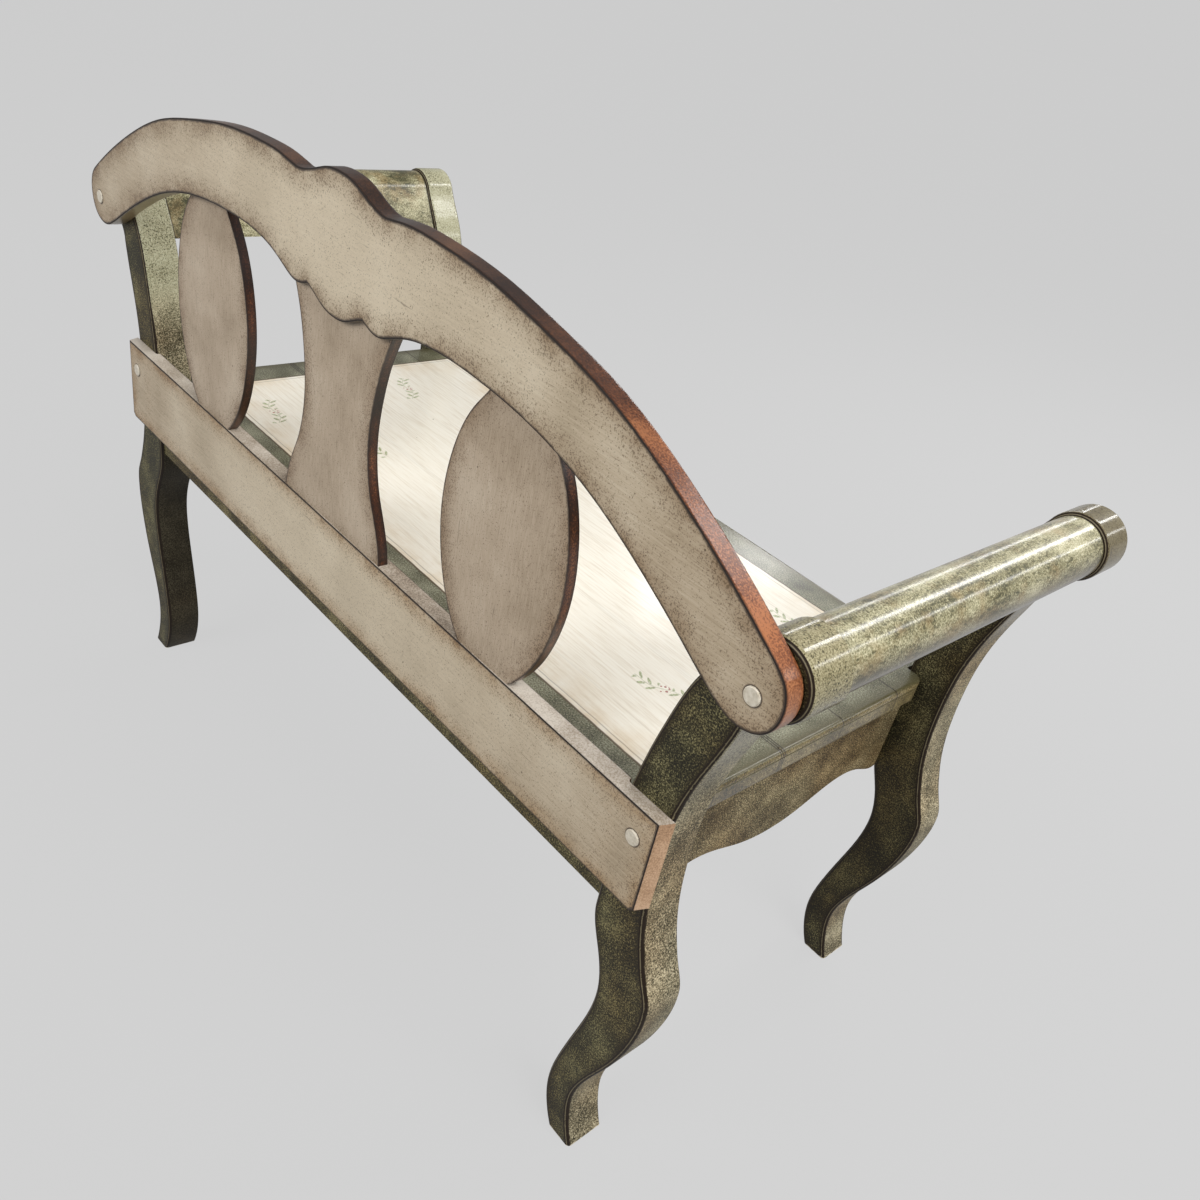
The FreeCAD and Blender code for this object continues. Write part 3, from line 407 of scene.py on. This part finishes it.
def cream_face(tree, place, grain, face, glaze, plugs):
    """The colour of a sawn face, and its brush marks."""
    # The sprayed cream, with brush marks along the wood; long boards get a painted light that makes
    # them paler in the middle
    run, step = 1 / GRAIN_RUN, 1 / GRAIN_STEP
    scale = (run, step, step) if grain == "X" else (step, step, run)
    brush = noise(tree, place, scale, 3.0, distortion=0.4)
    tone = calc(tree, "MULTIPLY_ADD", brush, 0.6, noise(tree, place, CREAM_DRIFT, 4.0))
    paint = ramp(tree, fade(tree, tone, 0.54, 1.06), *zip((0.0, 0.5, 1.0), face))
    if grain == "X":
        off_centre = calc(tree, "ABSOLUTE", parts_of(tree, place)[0])
        paint = mix(tree, fade(tree, off_centre, *PAINTED_LIGHT_MIDDLE, 0.0, 0.55), paint, "E2D5BC")

    # Glaze: a soft shade towards the rim in patches, and stipple that thickens there
    depth = stored(tree, "rim")
    near_rim = fade(tree, depth, GLAZE_REACH, 0.0)
    patch = fade(tree, noise(tree, place, GLAZE_DRIFT, 4.0, 0.6), 0.3, 0.7, 0.25, 1.15)
    shade = calc(tree, "MULTIPLY", calc(tree, "POWER", near_rim, 1.6), patch)
    paint = mix(tree, calc(tree, "MULTIPLY", shade, 0.85, use_clamp=True), paint, glaze)
    thick = calc(tree, "MULTIPLY", near_rim, patch)
    stipple = calc(tree, "MULTIPLY_ADD", thick, 0.16, noise(tree, place, 1 / STIPPLE, 2.0, 0.6))
    paint = mix(tree, fade(tree, stipple, 0.6, 0.7, 0.0, 0.75), paint, "5C4830")

    # A thin burnt line where the glaze gathered against the arris, and round the plugs
    burnt = calc(tree, "ADD", patch, 0.45, use_clamp=True)
    burnt = calc(tree, "MULTIPLY", burnt, fade(tree, depth, LINE_GONE, LINE_FULL))
    if plugs:
        low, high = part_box(plugs)
        radius = (high[2] - low[2]) / 2
        x, _, z = parts_of(tree, place)
        out = calc(tree, "SUBTRACT", calc(tree, "ABSOLUTE", x), high[0] - radius)
        rise = calc(tree, "SUBTRACT", z, high[2] - radius)
        ring = add(tree, "CombineXYZ", {0: out, 1: rise})
        ring = add(tree, "VectorMath", {0: ring}, operation="LENGTH").outputs["Value"]
        ring = fade(tree, ring, radius + RING_GONE, radius + RING_FULL)
        burnt = calc(tree, "MAXIMUM", burnt, ring)
    paint = mix(tree, calc(tree, "MULTIPLY", burnt, 0.9), paint, "2E1E12")

    # Short scratches along the wood and a few pin-sized specks
    scratch = noise(tree, place, tuple(s * SCRATCH_SHARE for s in scale), 1.0, distortion=0.8)
    dots = add(tree, "TexVoronoi", {"Vector": place, "Scale": 1 / SPECK_CELL})
    marks = calc(tree, "MAXIMUM", fade(tree, scratch, 0.72, 0.8, 0.0, 0.5),
                 fade(tree, dots, 0.05, 0.025, 0.0, 0.8))
    return mix(tree, marks, paint, "46341F"), brush


def cream_edge(tree, place, facing, like, rim, under, dark_from, ends, above):
    """The colour of the sawn edges, and where they carry a black line."""
    # Brighter in long patches, and more towards the ends; the underside has tones of its own
    x, y, _ = parts_of(tree, place)
    face_x, _, face_z = parts_of(tree, facing)
    off_centre = calc(tree, "ABSOLUTE", x)
    speck, broad = noise(tree, place, EDGE_SPECK, 2.0), noise(tree, place, EDGE_DRIFT, 3.0)
    tone = calc(tree, "MULTIPLY_ADD", speck, 0.8, broad)
    tone = calc(tree, "ADD", tone, fade(tree, off_centre, *BRIGHTER_ENDS, -0.06, 0.16))
    tone = fade(tree, tone, 0.64, 1.16)
    edge = ramp(tree, tone, *zip((0.0, 1 / 3, 2 / 3, 1.0), rim))
    below = ramp(tree, tone, *zip((0.0, 0.5, 1.0), under))
    edge = mix(tree, fade(tree, face_z, -0.25, -0.5), edge, below)
    if ends:
        at_end = fade(tree, calc(tree, "ABSOLUTE", face_x), 0.55, 0.85, 0.0, 0.85)
        edge = mix(tree, at_end, edge, ramp(tree, tone, *zip((0.2, 0.6, 0.95), ends)))
    if above:
        upward = calc(tree, "MULTIPLY", fade(tree, face_z, 0.3, 0.7),
                      fade(tree, off_centre, *DARK_TOP, 0.0, 0.85))
        edge = mix(tree, upward, edge, ramp(tree, tone, *zip((0.2, 0.9), above)))

    # The edge paint darkens towards its two arrises, which carry a black line
    low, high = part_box(like)
    half = (high[1] - low[1]) / 2
    off_middle = calc(tree, "ABSOLUTE", calc(tree, "SUBTRACT", y, (low[1] + high[1]) / 2))
    edge = mix(tree, fade(tree, off_middle, dark_from * half, half, 0.0, 0.9), edge, "1C120C")
    true_y = parts_of(tree, add(tree, "NewGeometry").outputs["True Normal"])[1]
    black = fade(tree, calc(tree, "ABSOLUTE", true_y), 0.5, 0.75)
    return mix(tree, black, edge, "1A110B"), black


def cream_board(name, like, grain, face, rim, under, glaze, dark_from,
                ends=None, plugs=None, above=None):
    """Glazed cream paint for the board like. Grain is the axis along its wood, and dark_from the
    share of half its thickness past which the edge paint darkens. The ends, the surroundings of
    the plugs and the top may have tones of their own."""
    material, tree, shader, place, facing = start_material(name)
    paint, brush = cream_face(tree, place, grain, face, glaze, plugs)
    edge, black = cream_edge(tree, place, facing, like, rim, under, dark_from, ends, above)
    is_face = stored(tree, "sawn")
    tree.links.new(output(mix(tree, is_face, edge, paint)), shader.inputs["Base Color"])

    # Brushed relief on the face; satin lacquer, glossier on the edges
    relief = add(tree, "Bump", {"Height": brush, "Strength": 0.2, "Distance": 0.25 * MM})
    tree.links.new(output(relief), shader.inputs["Normal"])
    dull = calc(tree, "MULTIPLY_ADD", black, 0.5, 0.3)
    gloss = add(tree, "Mix", {0: is_face, 2: dull, 3: 0.46}, data_type="FLOAT")
    tree.links.new(output(gloss), shader.inputs["Roughness"])
    shader.inputs["IOR"].default_value = 1.5
    return material


CREAM = ("9C8A70", "B9A88F", "CDBFA8")
SPLAT_CREAM = ("9A8871", "B6A48E", "CABBA6")
COPPER, COPPER_ENDS = ("2A150C", "482615", "6C3C22", "9A613C"), ("4C2816", "7F4B2D", "A46E49")
UMBER, UMBER_BELOW = ("150A06", "2B160D", "4A2917", "7F4E31"), ("2E1A10", "4C2E1C", "6E482E")
STONE, STONE_ENDS = ("6E5F50", "948777", "AFA496", "C4BBAE"), ("8A6440", "AF8660", "C9A27E")
TAN = ("6E5A3E", "93805F", "AD9C7C")
paint_with(cream_board("cream_glaze_on_crest", "crest_rail", "X", CREAM, COPPER, TAN, "84694A", 0.8,
                       ends=COPPER_ENDS, plugs="crest_plugs", above=("1C100A", "46301F")),
           [boards["crest_rail"]])
paint_with(cream_board("cream_glaze_on_rail", "back_rail", "X", CREAM, STONE, TAN, "A07C4E", 0.9,
                       ends=STONE_ENDS, plugs="rail_plugs"), [boards["back_rail"]])
paint_with(cream_board("cream_glaze_on_splats", "centre_splat", "Z", SPLAT_CREAM, UMBER,
                       UMBER_BELOW, "846A4E", 0.2),
           [boards[name] for name in ("centre_splat", "oval_splat_left", "oval_splat_right")])
print("cream boards painted:", len(boards))

# %% [markdown]
# ## Speckled olive paint
# The legs and the aprons have a near-black green ground under a golden olive that was dabbed on
# with a sponge, so at close range the paint is a fine speckle and further off a slow drift between
# green and brown. The sawn faces are dark and the edges paler, partly in the paint and partly as
# painted shade on the faces and painted light on the edges; the scrolled heads were rubbed much
# paler, and the rounded arris between face and edge carries a black band with one painted highlight
# line.

# %% Olive legs and aprons
SPECKLE = 1.6 * MM
OLIVE_DRIFT, BROWN_DRIFT, CHIPS = 24.0, 9.0, 120.0
HEAD_LOW, HEAD_HIGH = 0.5, 0.6
HEAD_SHADE_START, HEAD_SHADE_FULL = 0.1, -0.1
LEFT_LEGS, RIGHT_LEGS = -0.2, 0.2
UNDER_SEAT, AT_SEAT = 0.4, 0.44
WORN_REACH = 7 * MM
SCUFF_HEIGHT = 5 * MM
TONE_STOPS = (0.15, 0.42, 0.6, 0.85)


def leg_wear(tree, shader, place, facing, paint, tone, flat, is_face):
    """What only a leg has, over its plain paint."""
    x, y, z = parts_of(tree, place)

    # The scrolled heads: rubbed pale on the right and glazed browner on the left, where a painted
    # shade also darkens the front
    head = fade(tree, z, HEAD_LOW, HEAD_HIGH, interpolation_type="SMOOTHSTEP")
    head = calc(tree, "MULTIPLY", head, calc(tree, "SUBTRACT", 1.0, is_face))
    rubbed = ramp(tree, tone, (0.08, "3A3622"), (0.26, "8E8A6C"), (0.8, "B6B49A"))
    glazed_and_shaded = ramp(tree, tone, (0.08, "2E2A18"), (0.3, "726A4C"), (0.8, "A09878"))
    # Painted shade: the left heads darken towards the front
    glazed_and_shaded = mix(tree, fade(tree, y, HEAD_SHADE_START, HEAD_SHADE_FULL, 0.0, 0.6), glazed_and_shaded, "3E301A")
    rubbed = mix(tree, fade(tree, x, LEFT_LEGS, RIGHT_LEGS), glazed_and_shaded, rubbed)
    paint = mix(tree, head, paint, rubbed)

    # Glaze at the rim of the faces; inside the frame, under the seat, the inward sides get painted
    # shade
    worn = fade(tree, stored(tree, "rim"), WORN_REACH, 0.0, 0.0, 0.7)
    paint = mix(tree, calc(tree, "MULTIPLY", worn, is_face), paint, "241C10")
    shade_under_seat = calc(tree, "MULTIPLY", calc(tree, "SIGN", x), parts_of(tree, facing)[0])
    shade_under_seat = calc(tree, "MULTIPLY", fade(tree, shade_under_seat, -0.2, -0.6, 0.0, 0.8),
                  fade(tree, z, AT_SEAT, UNDER_SEAT))
    # Painted shade on the inward sides of the legs under the seat
    paint = mix(tree, shade_under_seat, paint, "221C12")

    # The black band on the rounded arris, which starts later on the heads, and a painted highlight
    # line along it
    start = calc(tree, "MULTIPLY_ADD", head, 0.5, 0.12)
    band = fade(tree, flat, start, calc(tree, "ADD", start, 0.16))
    band = calc(tree, "SUBTRACT", band, stored(tree, "sawn"), use_clamp=True)
    paint = mix(tree, band, paint, "20170F")
    glint_line = ramp(tree, flat, (0.8, BLACK), (0.86, WHITE), (0.9, WHITE), (0.94, BLACK))
    paint = mix(tree, calc(tree, "MULTIPLY", glint_line, 0.6), paint, "8C8268")

    # Where the feet have scuffed the floor, a few chips show the pale undercoat
    chip = calc(tree, "MULTIPLY", noise(tree, place, CHIPS, 3.0), fade(tree, z, SCUFF_HEIGHT, 0.0))
    paint = mix(tree, fade(tree, chip, 0.44, 0.5, 0.0, 0.8), paint, "CBBFA6")
    polished = calc(tree, "MULTIPLY", head, 0.75)
    tree.links.new(output(polished), shader.inputs["Coat Weight"])
    return paint


def olive_paint(name, face, side, on_leg):
    """Sponged paint: four tones for the sawn faces (+-Y) and four for the edges between them. The
    faces are darker partly as painted shade, and the edges paler partly as painted light.
    """
    material, tree, shader, place, facing = start_material(name)
    flat = calc(tree, "ABSOLUTE", parts_of(tree, facing)[1])
    sponge = noise(tree, place, 1 / SPECKLE, 2.0, 0.6, 0.5)
    tone = calc(tree, "MULTIPLY_ADD", noise(tree, place, OLIVE_DRIFT, 4.0, 0.6), 0.42, sponge)
    tone = fade(tree, tone, 0.5, 0.96)
    is_face = fade(tree, flat, 0.5, 0.6)
    # The dark face tones are partly painted shade, and the pale edge tones partly painted light
    paint = mix(tree, is_face, ramp(tree, tone, *zip(TONE_STOPS, side)),
                ramp(tree, tone, *zip(TONE_STOPS, face)))
    drift = fade(tree, noise(tree, place, BROWN_DRIFT, 2.0), 0.42, 0.62, 0.0, 0.4)
    paint = mix(tree, drift, paint, "8A5F32", blend_type="SOFT_LIGHT")
    if on_leg:
        paint = leg_wear(tree, shader, place, facing, paint, tone, flat, is_face)
    tree.links.new(output(paint), shader.inputs["Base Color"])
    relief = add(tree, "Bump", {"Height": sponge, "Strength": 0.35, "Distance": 0.3 * MM})
    tree.links.new(output(relief), shader.inputs["Normal"])
    gloss = fade(tree, sponge, 0.0, 1.0, 0.4, 0.7)
    tree.links.new(output(gloss), shader.inputs["Roughness"])
    shader.inputs["Specular IOR Level"].default_value = 0.2
    shader.inputs["Coat Roughness"].default_value = 0.17
    return material


# The aprons' sawn faces are painted lighter than the legs' as painted light, because the back apron
# sits in shade under the rail
leg_paint = olive_paint("sponged_olive_on_legs", ("191810", "363222", "605B3F", "9A926A"),
                        ("322E20", "726A54", "9D9378", "C9BFA3"), True)
apron_paint = olive_paint("sponged_olive_on_aprons", ("242014", "464029", "6C6446", "A29870"),
                          ("181309", "544830", "8A7D5E", "C0B38F"), False)
paint_with(leg_paint, legs)
aprons = [node for name, node in nodes.items()
          if name.endswith("_apron") or name.startswith("side_apron")]
paint_with(apron_paint, aprons)
print("olive pieces:", len(legs) + len(aprons))

# %% [markdown]
# ## Polished arms
# The arm rolls are rails with a rounded top and a straight tail down the inner side. Their paint
# drifts in soft clouds along the grain, and no other piece of the bench is so well polished: clear
# lacquer over the olive gives hard thin streaks of light. A coat layer on the shader makes them,
# with the speckle left in the layer beneath.

# %% Arm rolls
CLOUDS, FLECKS = (42.0, 15.0, 42.0), (260.0, 130.0, 260.0)
WARM_DRIFT = 30.0
SEAM_FULL, SEAM_GONE = 1.6 * MM, 3.0 * MM

arm_paint, tree, shader, place, facing = start_material("lacquered_olive_on_arms")
cloud = noise(tree, place, CLOUDS, 5.0, 0.65)
sponge = noise(tree, place, 1 / SPECKLE, 2.0, 0.65)
tone = fade(tree, calc(tree, "MULTIPLY_ADD", sponge, 1.0, cloud), 0.72, 1.28)
paint = ramp(tree, tone, (0.05, "302E1B"), (0.36, "6C6648"), (0.6, "959070"), (0.95, "C4BEA0"))
warm = fade(tree, noise(tree, place, WARM_DRIFT, 3.0), 0.5, 0.66, 0.0, 0.4)
paint = mix(tree, warm, paint, "8A7046")
fleck = noise(tree, place, FLECKS, 3.0, 0.6)
fleck = calc(tree, "MULTIPLY_ADD", cloud, -0.7, fleck)
paint = mix(tree, fade(tree, fleck, 0.19, 0.34, 0.0, 0.75), paint, "37371F")

# Painted shade beneath, and a dark seam at each end, where the roll meets a leg
shade_beneath = fade(tree, parts_of(tree, facing)[2], 0.4, -0.4, 0.0, 0.8)
paint = mix(tree, shade_beneath, paint, "38290F")
arm_low, arm_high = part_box("arm_roll_left")
along = parts_of(tree, place)[1]
seam = calc(tree, "MINIMUM", calc(tree, "SUBTRACT", arm_high[1], along),
            calc(tree, "SUBTRACT", along, arm_low[1]))
paint = mix(tree, fade(tree, seam, SEAM_GONE, SEAM_FULL, 0.0, 0.9), paint, "2E2819")
tree.links.new(output(paint), shader.inputs["Base Color"])
relief = add(tree, "Bump", {"Height": sponge, "Strength": 0.15, "Distance": 0.2 * MM})
tree.links.new(output(relief), shader.inputs["Normal"])
shader.inputs["Roughness"].default_value = 0.45
shader.inputs["Specular IOR Level"].default_value = 0.25
shader.inputs["Coat Weight"].default_value = 0.7
shader.inputs["Coat Roughness"].default_value = 0.19
paint_with(arm_paint, [nodes["arm_roll_left"], nodes["arm_roll_right"]])
print("arm streaks come from a coat of roughness", shader.inputs["Coat Roughness"].default_value)

# %% [markdown]
# ## Painted seat
# The planks are cream inside a border of grey olive, with a thin brown line between, a fainter one
# inside it, and small sprigs of leaves and berries brushed on the cream. The field is a rectangle
# in the bench's own coordinates, so it runs across the planks as it would when the seat was
# painted in one go. A sprig is a node group in millimetres of its own: a curved stem, a leaf that
# is repeated along it by a modulo, and a few berries at its middle. The seat uses the group once
# for each sprig.

# %% One painted sprig
STEM_HALF, LEAF_STEP = 37.0, 12.0
STEM_SWING, STEM_WAVE = 3.5, 0.11
LEAF_AWAY, LEAF_LONG, LEAF_WIDE = 4.8, 5.6, 2.0
ROOT_TWO = 1.414
BERRIES_PER_MM, BERRY_SPREAD = 0.22, 0.6
# Where a shape is gone and where it is full
STEM_EDGE, LEAF_EDGE, BERRY_EDGE = (0.7, 0.2), (1.1, 0.8), (0.42, 0.34)
LEAFLESS, BERRY_CIRCLE = (6.0, 8.0), (7.5, 6.5)

sprig = bpy.data.node_groups.new("sprig", "ShaderNodeTree")
for label, way, kind in (("Place", "INPUT", "NodeSocketVector"),
                         ("Leaf", "OUTPUT", "NodeSocketFloat"),
                         ("Berry", "OUTPUT", "NodeSocketFloat")):
    sprig.interface.new_socket(label, in_out=way, socket_type=kind)
source = sprig.nodes.new("NodeGroupInput")
u, v, _ = parts_of(sprig, source.outputs[0])
on_seat = add(sprig, "CombineXYZ", {0: u, 1: v})
wave = calc(sprig, "SINE", calc(sprig, "MULTIPLY", u, STEM_WAVE))
side = calc(sprig, "MULTIPLY_ADD", wave, -STEM_SWING, v)
reach = calc(sprig, "ABSOLUTE", u)
away = calc(sprig, "ABSOLUTE", side)
within = fade(sprig, reach, STEM_HALF, STEM_HALF - 2)
stem = fade(sprig, away, *STEM_EDGE, 0.0, 0.7)

# Leaves: one in each step of the stem on either side, half a step apart
along = calc(sprig, "MULTIPLY_ADD", calc(sprig, "GREATER_THAN", side, 0.0), LEAF_STEP / 2, u)
along = calc(sprig, "FLOORED_MODULO", along, LEAF_STEP)
run_u = calc(sprig, "SUBTRACT", along, LEAF_STEP / 2)
run_v = calc(sprig, "SUBTRACT", away, LEAF_AWAY)
long_way = calc(sprig, "MULTIPLY", calc(sprig, "ADD", run_u, run_v), 1 / (ROOT_TWO * LEAF_LONG))
cross_way = calc(sprig, "MULTIPLY", calc(sprig, "SUBTRACT", run_u, run_v),
                 1 / (ROOT_TWO * LEAF_WIDE))
spot = add(sprig, "CombineXYZ", {0: long_way, 1: cross_way})
spot = add(sprig, "VectorMath", {0: spot}, operation="LENGTH").outputs["Value"]
leaf = calc(sprig, "MULTIPLY", fade(sprig, spot, *LEAF_EDGE), fade(sprig, reach, *LEAFLESS))
leaf = calc(sprig, "MULTIPLY", calc(sprig, "MAXIMUM", leaf, stem), within)

# Berries: round dots of a coarse cell pattern, kept within a small circle
middle = add(sprig, "VectorMath", {0: on_seat}, operation="LENGTH").outputs["Value"]
cells = add(sprig, "TexVoronoi", {"Vector": on_seat, "Scale": BERRIES_PER_MM,
                                  "Randomness": BERRY_SPREAD})
berry = calc(sprig, "MULTIPLY", fade(sprig, cells, *BERRY_EDGE),
             fade(sprig, middle, *BERRY_CIRCLE))
sink = sprig.nodes.new("NodeGroupOutput")
sprig.links.new(output(leaf), sink.inputs[0])
sprig.links.new(output(berry), sink.inputs[1])
print("nodes in one sprig:", len(sprig.nodes))

# %% [markdown]
# The paint has filled the small bevels between the planks, so the top reads as one smooth sheet on
# which a joint is at most a thin line. Each filling is a thin triangular bead that is extruded
# along the joint, flush with the top.

# %% Filled joints
BEVEL, BOLD_BEVEL = 0.7 * MM, 1.6 * MM
TOP_ROUND = 9 * MM
LINE_GAP = 3 * MM

planks = sorted(name for name in nodes if name.startswith("seat_plank"))
JOINTS = [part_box(name)[1][1] for name in planks[:-1]]
WIDE_JOINT = JOINTS[2]
LINES = JOINTS + [WIDE_JOINT - LINE_GAP, WIDE_JOINT + LINE_GAP]
seat_low, seat_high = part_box(planks[0])
SEAT_TOP, SEAT_HALF = seat_high[2], seat_high[0]

bead = bmesh.new()
for y in JOINTS:
    cut = BOLD_BEVEL if y == WIDE_JOINT else BEVEL
    corners = [bead.verts.new((TOP_ROUND - SEAT_HALF, y + aside, SEAT_TOP - down))
               for aside, down in ((-cut, 0), (0, cut), (cut, 0))]
    made = bmesh.ops.extrude_face_region(bead, geom=[bead.faces.new(corners)])
    moved = [v for v in made["geom"] if isinstance(v, bmesh.types.BMVert)]
    bmesh.ops.translate(bead, verts=moved, vec=(2 * (SEAT_HALF - TOP_ROUND), 0, 0))
bmesh.ops.recalc_face_normals(bead, faces=bead.faces)
bead_mesh = bpy.data.meshes.new("seat_joint_filling")
bead.to_mesh(bead_mesh)
bead.free()
filling = place_object("seat_joint_filling", bead_mesh)
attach(filling, "root")
print("joints at y =", [round(y, 4) for y in JOINTS])

# %% Seat field
FIELD_HALF = 442 * MM
FIELD_FRONT, FIELD_BACK = -214.5 * MM, 177.5 * MM
SEAT_GRAIN = (26.0, 420.0, 420.0)
STAIN_DRIFT, LINE_DRIFT = 13.0, 60.0
WOBBLE = 0.8 * MM
FIELD_SOFT = 0.3 * MM
STAIN_REACH = 55 * MM
SEAT_SPECK_CELL = 34 * MM

seat_paint, tree, shader, place, facing = start_material("painted_seat")
x, y, _ = parts_of(tree, place)
half = calc(tree, "ABSOLUTE", x)
side_gap = calc(tree, "SUBTRACT", FIELD_HALF, half)
front_gap = calc(tree, "SUBTRACT", y, FIELD_FRONT)
back_gap = calc(tree, "SUBTRACT", FIELD_BACK, y)
inside = calc(tree, "MINIMUM", calc(tree, "MINIMUM", side_gap, front_gap), back_gap)
wobble = fade(tree, noise(tree, place, LINE_DRIFT, 2.0), 0.0, 1.0, -WOBBLE, WOBBLE)
inside = calc(tree, "ADD", inside, wobble)
is_field = fade(tree, inside, -FIELD_SOFT, FIELD_SOFT)

# Cream field: faint brush grain along the planks, a few specks, brown stains towards the border
grain = noise(tree, place, SEAT_GRAIN, 4.0)
cream = ramp(tree, grain, (0.3, "D8CFBE"), (0.5, "E5DFD1"), (0.8, "EAE6DB"))
dots = add(tree, "TexVoronoi", {"Vector": place, "Scale": 1 / SEAT_SPECK_CELL})
cream = mix(tree, fade(tree, dots, 0.045, 0.02), cream, "7A6A50")
blot = fade(tree, noise(tree, place, STAIN_DRIFT, 5.0, 0.65), 0.4, 0.7)
stain = calc(tree, "MULTIPLY", fade(tree, inside, STAIN_REACH, 0.0, 0.0, 1.1), blot)
cream = mix(tree, calc(tree, "MULTIPLY", stain, 0.55), cream, "C2A26C")
print("field:", round(2 * FIELD_HALF, 3), "by", round(FIELD_BACK - FIELD_FRONT, 3), "m")

# %% Sprigs on the field
# Each has its x and y in millimetres and its angle in degrees
SPRIGS = [(-360, 75, 20), (-215, -85, -24), (-72, 75, 18), (72, -85, -20), (215, 75, 24),
          (360, -85, -18), (-345, -160, 12), (345, 135, -14)]
DRY_BRUSH = 500.0

leaves = berries = None
for at_x, at_y, angle in SPRIGS:
    own = add(tree, "Mapping", {"Vector": place, "Location": (at_x * MM, at_y * MM, 0),
                                "Scale": (MM, MM, MM), "Rotation": (0, 0, math.radians(angle))},
              vector_type="TEXTURE")
    made = add(tree, "Group", node_tree=sprig)
    tree.links.new(output(own), made.inputs[0])
    leaf, berry = made.outputs
    leaves = leaf if leaves is None else calc(tree, "MAXIMUM", leaves, leaf)
    berries = berry if berries is None else calc(tree, "MAXIMUM", berries, berry)
dry = fade(tree, noise(tree, place, DRY_BRUSH, 2.0), 0.3, 0.55, 0.35, 0.95)
leaf_tone = ramp(tree, grain, (0.35, "6F7A48"), (0.65, "A3AC7C"))
cream = mix(tree, calc(tree, "MULTIPLY", leaves, dry), cream, leaf_tone)
cream = mix(tree, calc(tree, "MULTIPLY", berries, 0.85), cream, "93402F")
print("sprigs:", len(SPRIGS))

# %% Border, edge and joints of the seat
LINE_FROM, LINE_TO = -4 * MM, 12 * MM
RUB_REACH, RUB_FULL = 22 * MM, 6 * MM
JOINT_FULL, JOINT_GONE = 0.6 * MM, 1.1 * MM
JOINT_ON_BORDER, JOINT_ON_FIELD = 0.9, 0.07
BORDER_DRIFT = 22.0

# Grey olive speckle, and the two brown lines that part it from the field
sponge = noise(tree, place, 1 / SPECKLE, 2.0, 0.6)
patch = noise(tree, place, BORDER_DRIFT, 4.0)
tone = fade(tree, calc(tree, "MULTIPLY_ADD", patch, 0.6, sponge), 0.55, 1.05)
border = ramp(tree, tone, (0.1, "2C2A18"), (0.4, "585640"), (0.65, "7A7964"), (1.0, "A2A18A"))
line = ramp(tree, fade(tree, inside, LINE_FROM, LINE_TO),
            (0.12, BLACK), (0.17, WHITE), (0.28, WHITE), (0.33, BLACK),
            (0.57, BLACK), (0.61, GREY), (0.66, GREY), (0.7, BLACK))
colour = mix(tree, is_field, border, cream)
colour = mix(tree, calc(tree, "MULTIPLY", line, 0.85), colour, "4C3A22")

# The border is rubbed darker towards the rounded edge at the ends and the front
from_edge = calc(tree, "MINIMUM", calc(tree, "SUBTRACT", SEAT_HALF, half),
                 calc(tree, "SUBTRACT", y, seat_low[1]))
rubbed = calc(tree, "MULTIPLY", fade(tree, from_edge, RUB_REACH, RUB_FULL), patch)
colour = mix(tree, calc(tree, "MULTIPLY", rubbed, 1.5, use_clamp=True), colour, "4C4529")
edge = ramp(tree, tone, (0.05, "241E10"), (0.4, "594D31"), (0.7, "82744F"), (1.0, "A69872"))
colour = mix(tree, fade(tree, parts_of(tree, facing)[2], 0.55, 0.9), edge, colour)

# The joints: thin dark lines on the border, hardly seen on the field
joint = 1.0
for at_y in LINES:
    gap = calc(tree, "ABSOLUTE", calc(tree, "SUBTRACT", y, at_y))
    joint = calc(tree, "MINIMUM", gap, joint)
joint = calc(tree, "MULTIPLY", fade(tree, joint, JOINT_GONE, JOINT_FULL),
             fade(tree, is_field, 0.0, 1.0, JOINT_ON_BORDER, JOINT_ON_FIELD))
tree.links.new(output(mix(tree, joint, colour, "2E261A")), shader.inputs["Base Color"])
relief = add(tree, "Bump", {"Height": grain, "Strength": 0.12, "Distance": 0.2 * MM})
tree.links.new(output(relief), shader.inputs["Normal"])
shader.inputs["Roughness"].default_value = 0.42
shader.inputs["Coat Weight"].default_value = 0.5
shader.inputs["Coat Roughness"].default_value = 0.16
paint_with(seat_paint, [nodes[name] for name in planks] + [filling])
print("planks painted:", len(planks))

# %% [markdown]
# ## Plugs, blocks and screws
# The plugs are end-grain buttons painted with the back; the corner blocks and dowels were never
# meant to be seen and stay bare; the screws are plain zinc-plated steel.

# %% Small pieces
MOTTLE, WOOD_RINGS, SCUFFS = 300.0, (20.0, 160.0, 300.0), 900.0

plug_paint, tree, shader, place, _ = start_material("cream_plugs")
paint = ramp(tree, noise(tree, place, MOTTLE, 4.0), (0.3, "C4BAA6"), (0.65, "DDD5C5"))
tree.links.new(output(paint), shader.inputs["Base Color"])
shader.inputs["Roughness"].default_value = 0.4

bare_wood, tree, shader, place, _ = start_material("bare_poplar")
rings = noise(tree, place, WOOD_RINGS, 4.0)
paint = ramp(tree, rings, (0.3, "A98A5E"), (0.7, "CDB48A"))
tree.links.new(output(paint), shader.inputs["Base Color"])
shader.inputs["Roughness"].default_value = 0.7

steel, tree, shader, place, _ = start_material("zinc_plated_steel")
rough = fade(tree, noise(tree, place, SCUFFS, 3.0), 0.0, 1.0, 0.25, 0.5)
tree.links.new(output(rough), shader.inputs["Roughness"])
shader.inputs["Base Color"].default_value = linear("BFC0BE")
shader.inputs["Metallic"].default_value = 1.0

for ending, material in (("_plugs", plug_paint), ("_screws", steel), ("_dowels", bare_wood)):
    paint_with(material, [node for name, node in nodes.items() if name.endswith(ending)])
paint_with(bare_wood, [node for name, node in nodes.items()
                       if name.startswith("corner_block") and not name.endswith("_screws")])
print("painted nodes:", sum(bool(n.data.materials) for n in nodes.values()))

# %% Finish
bpy.context.scene.view_settings.view_transform = "Standard"
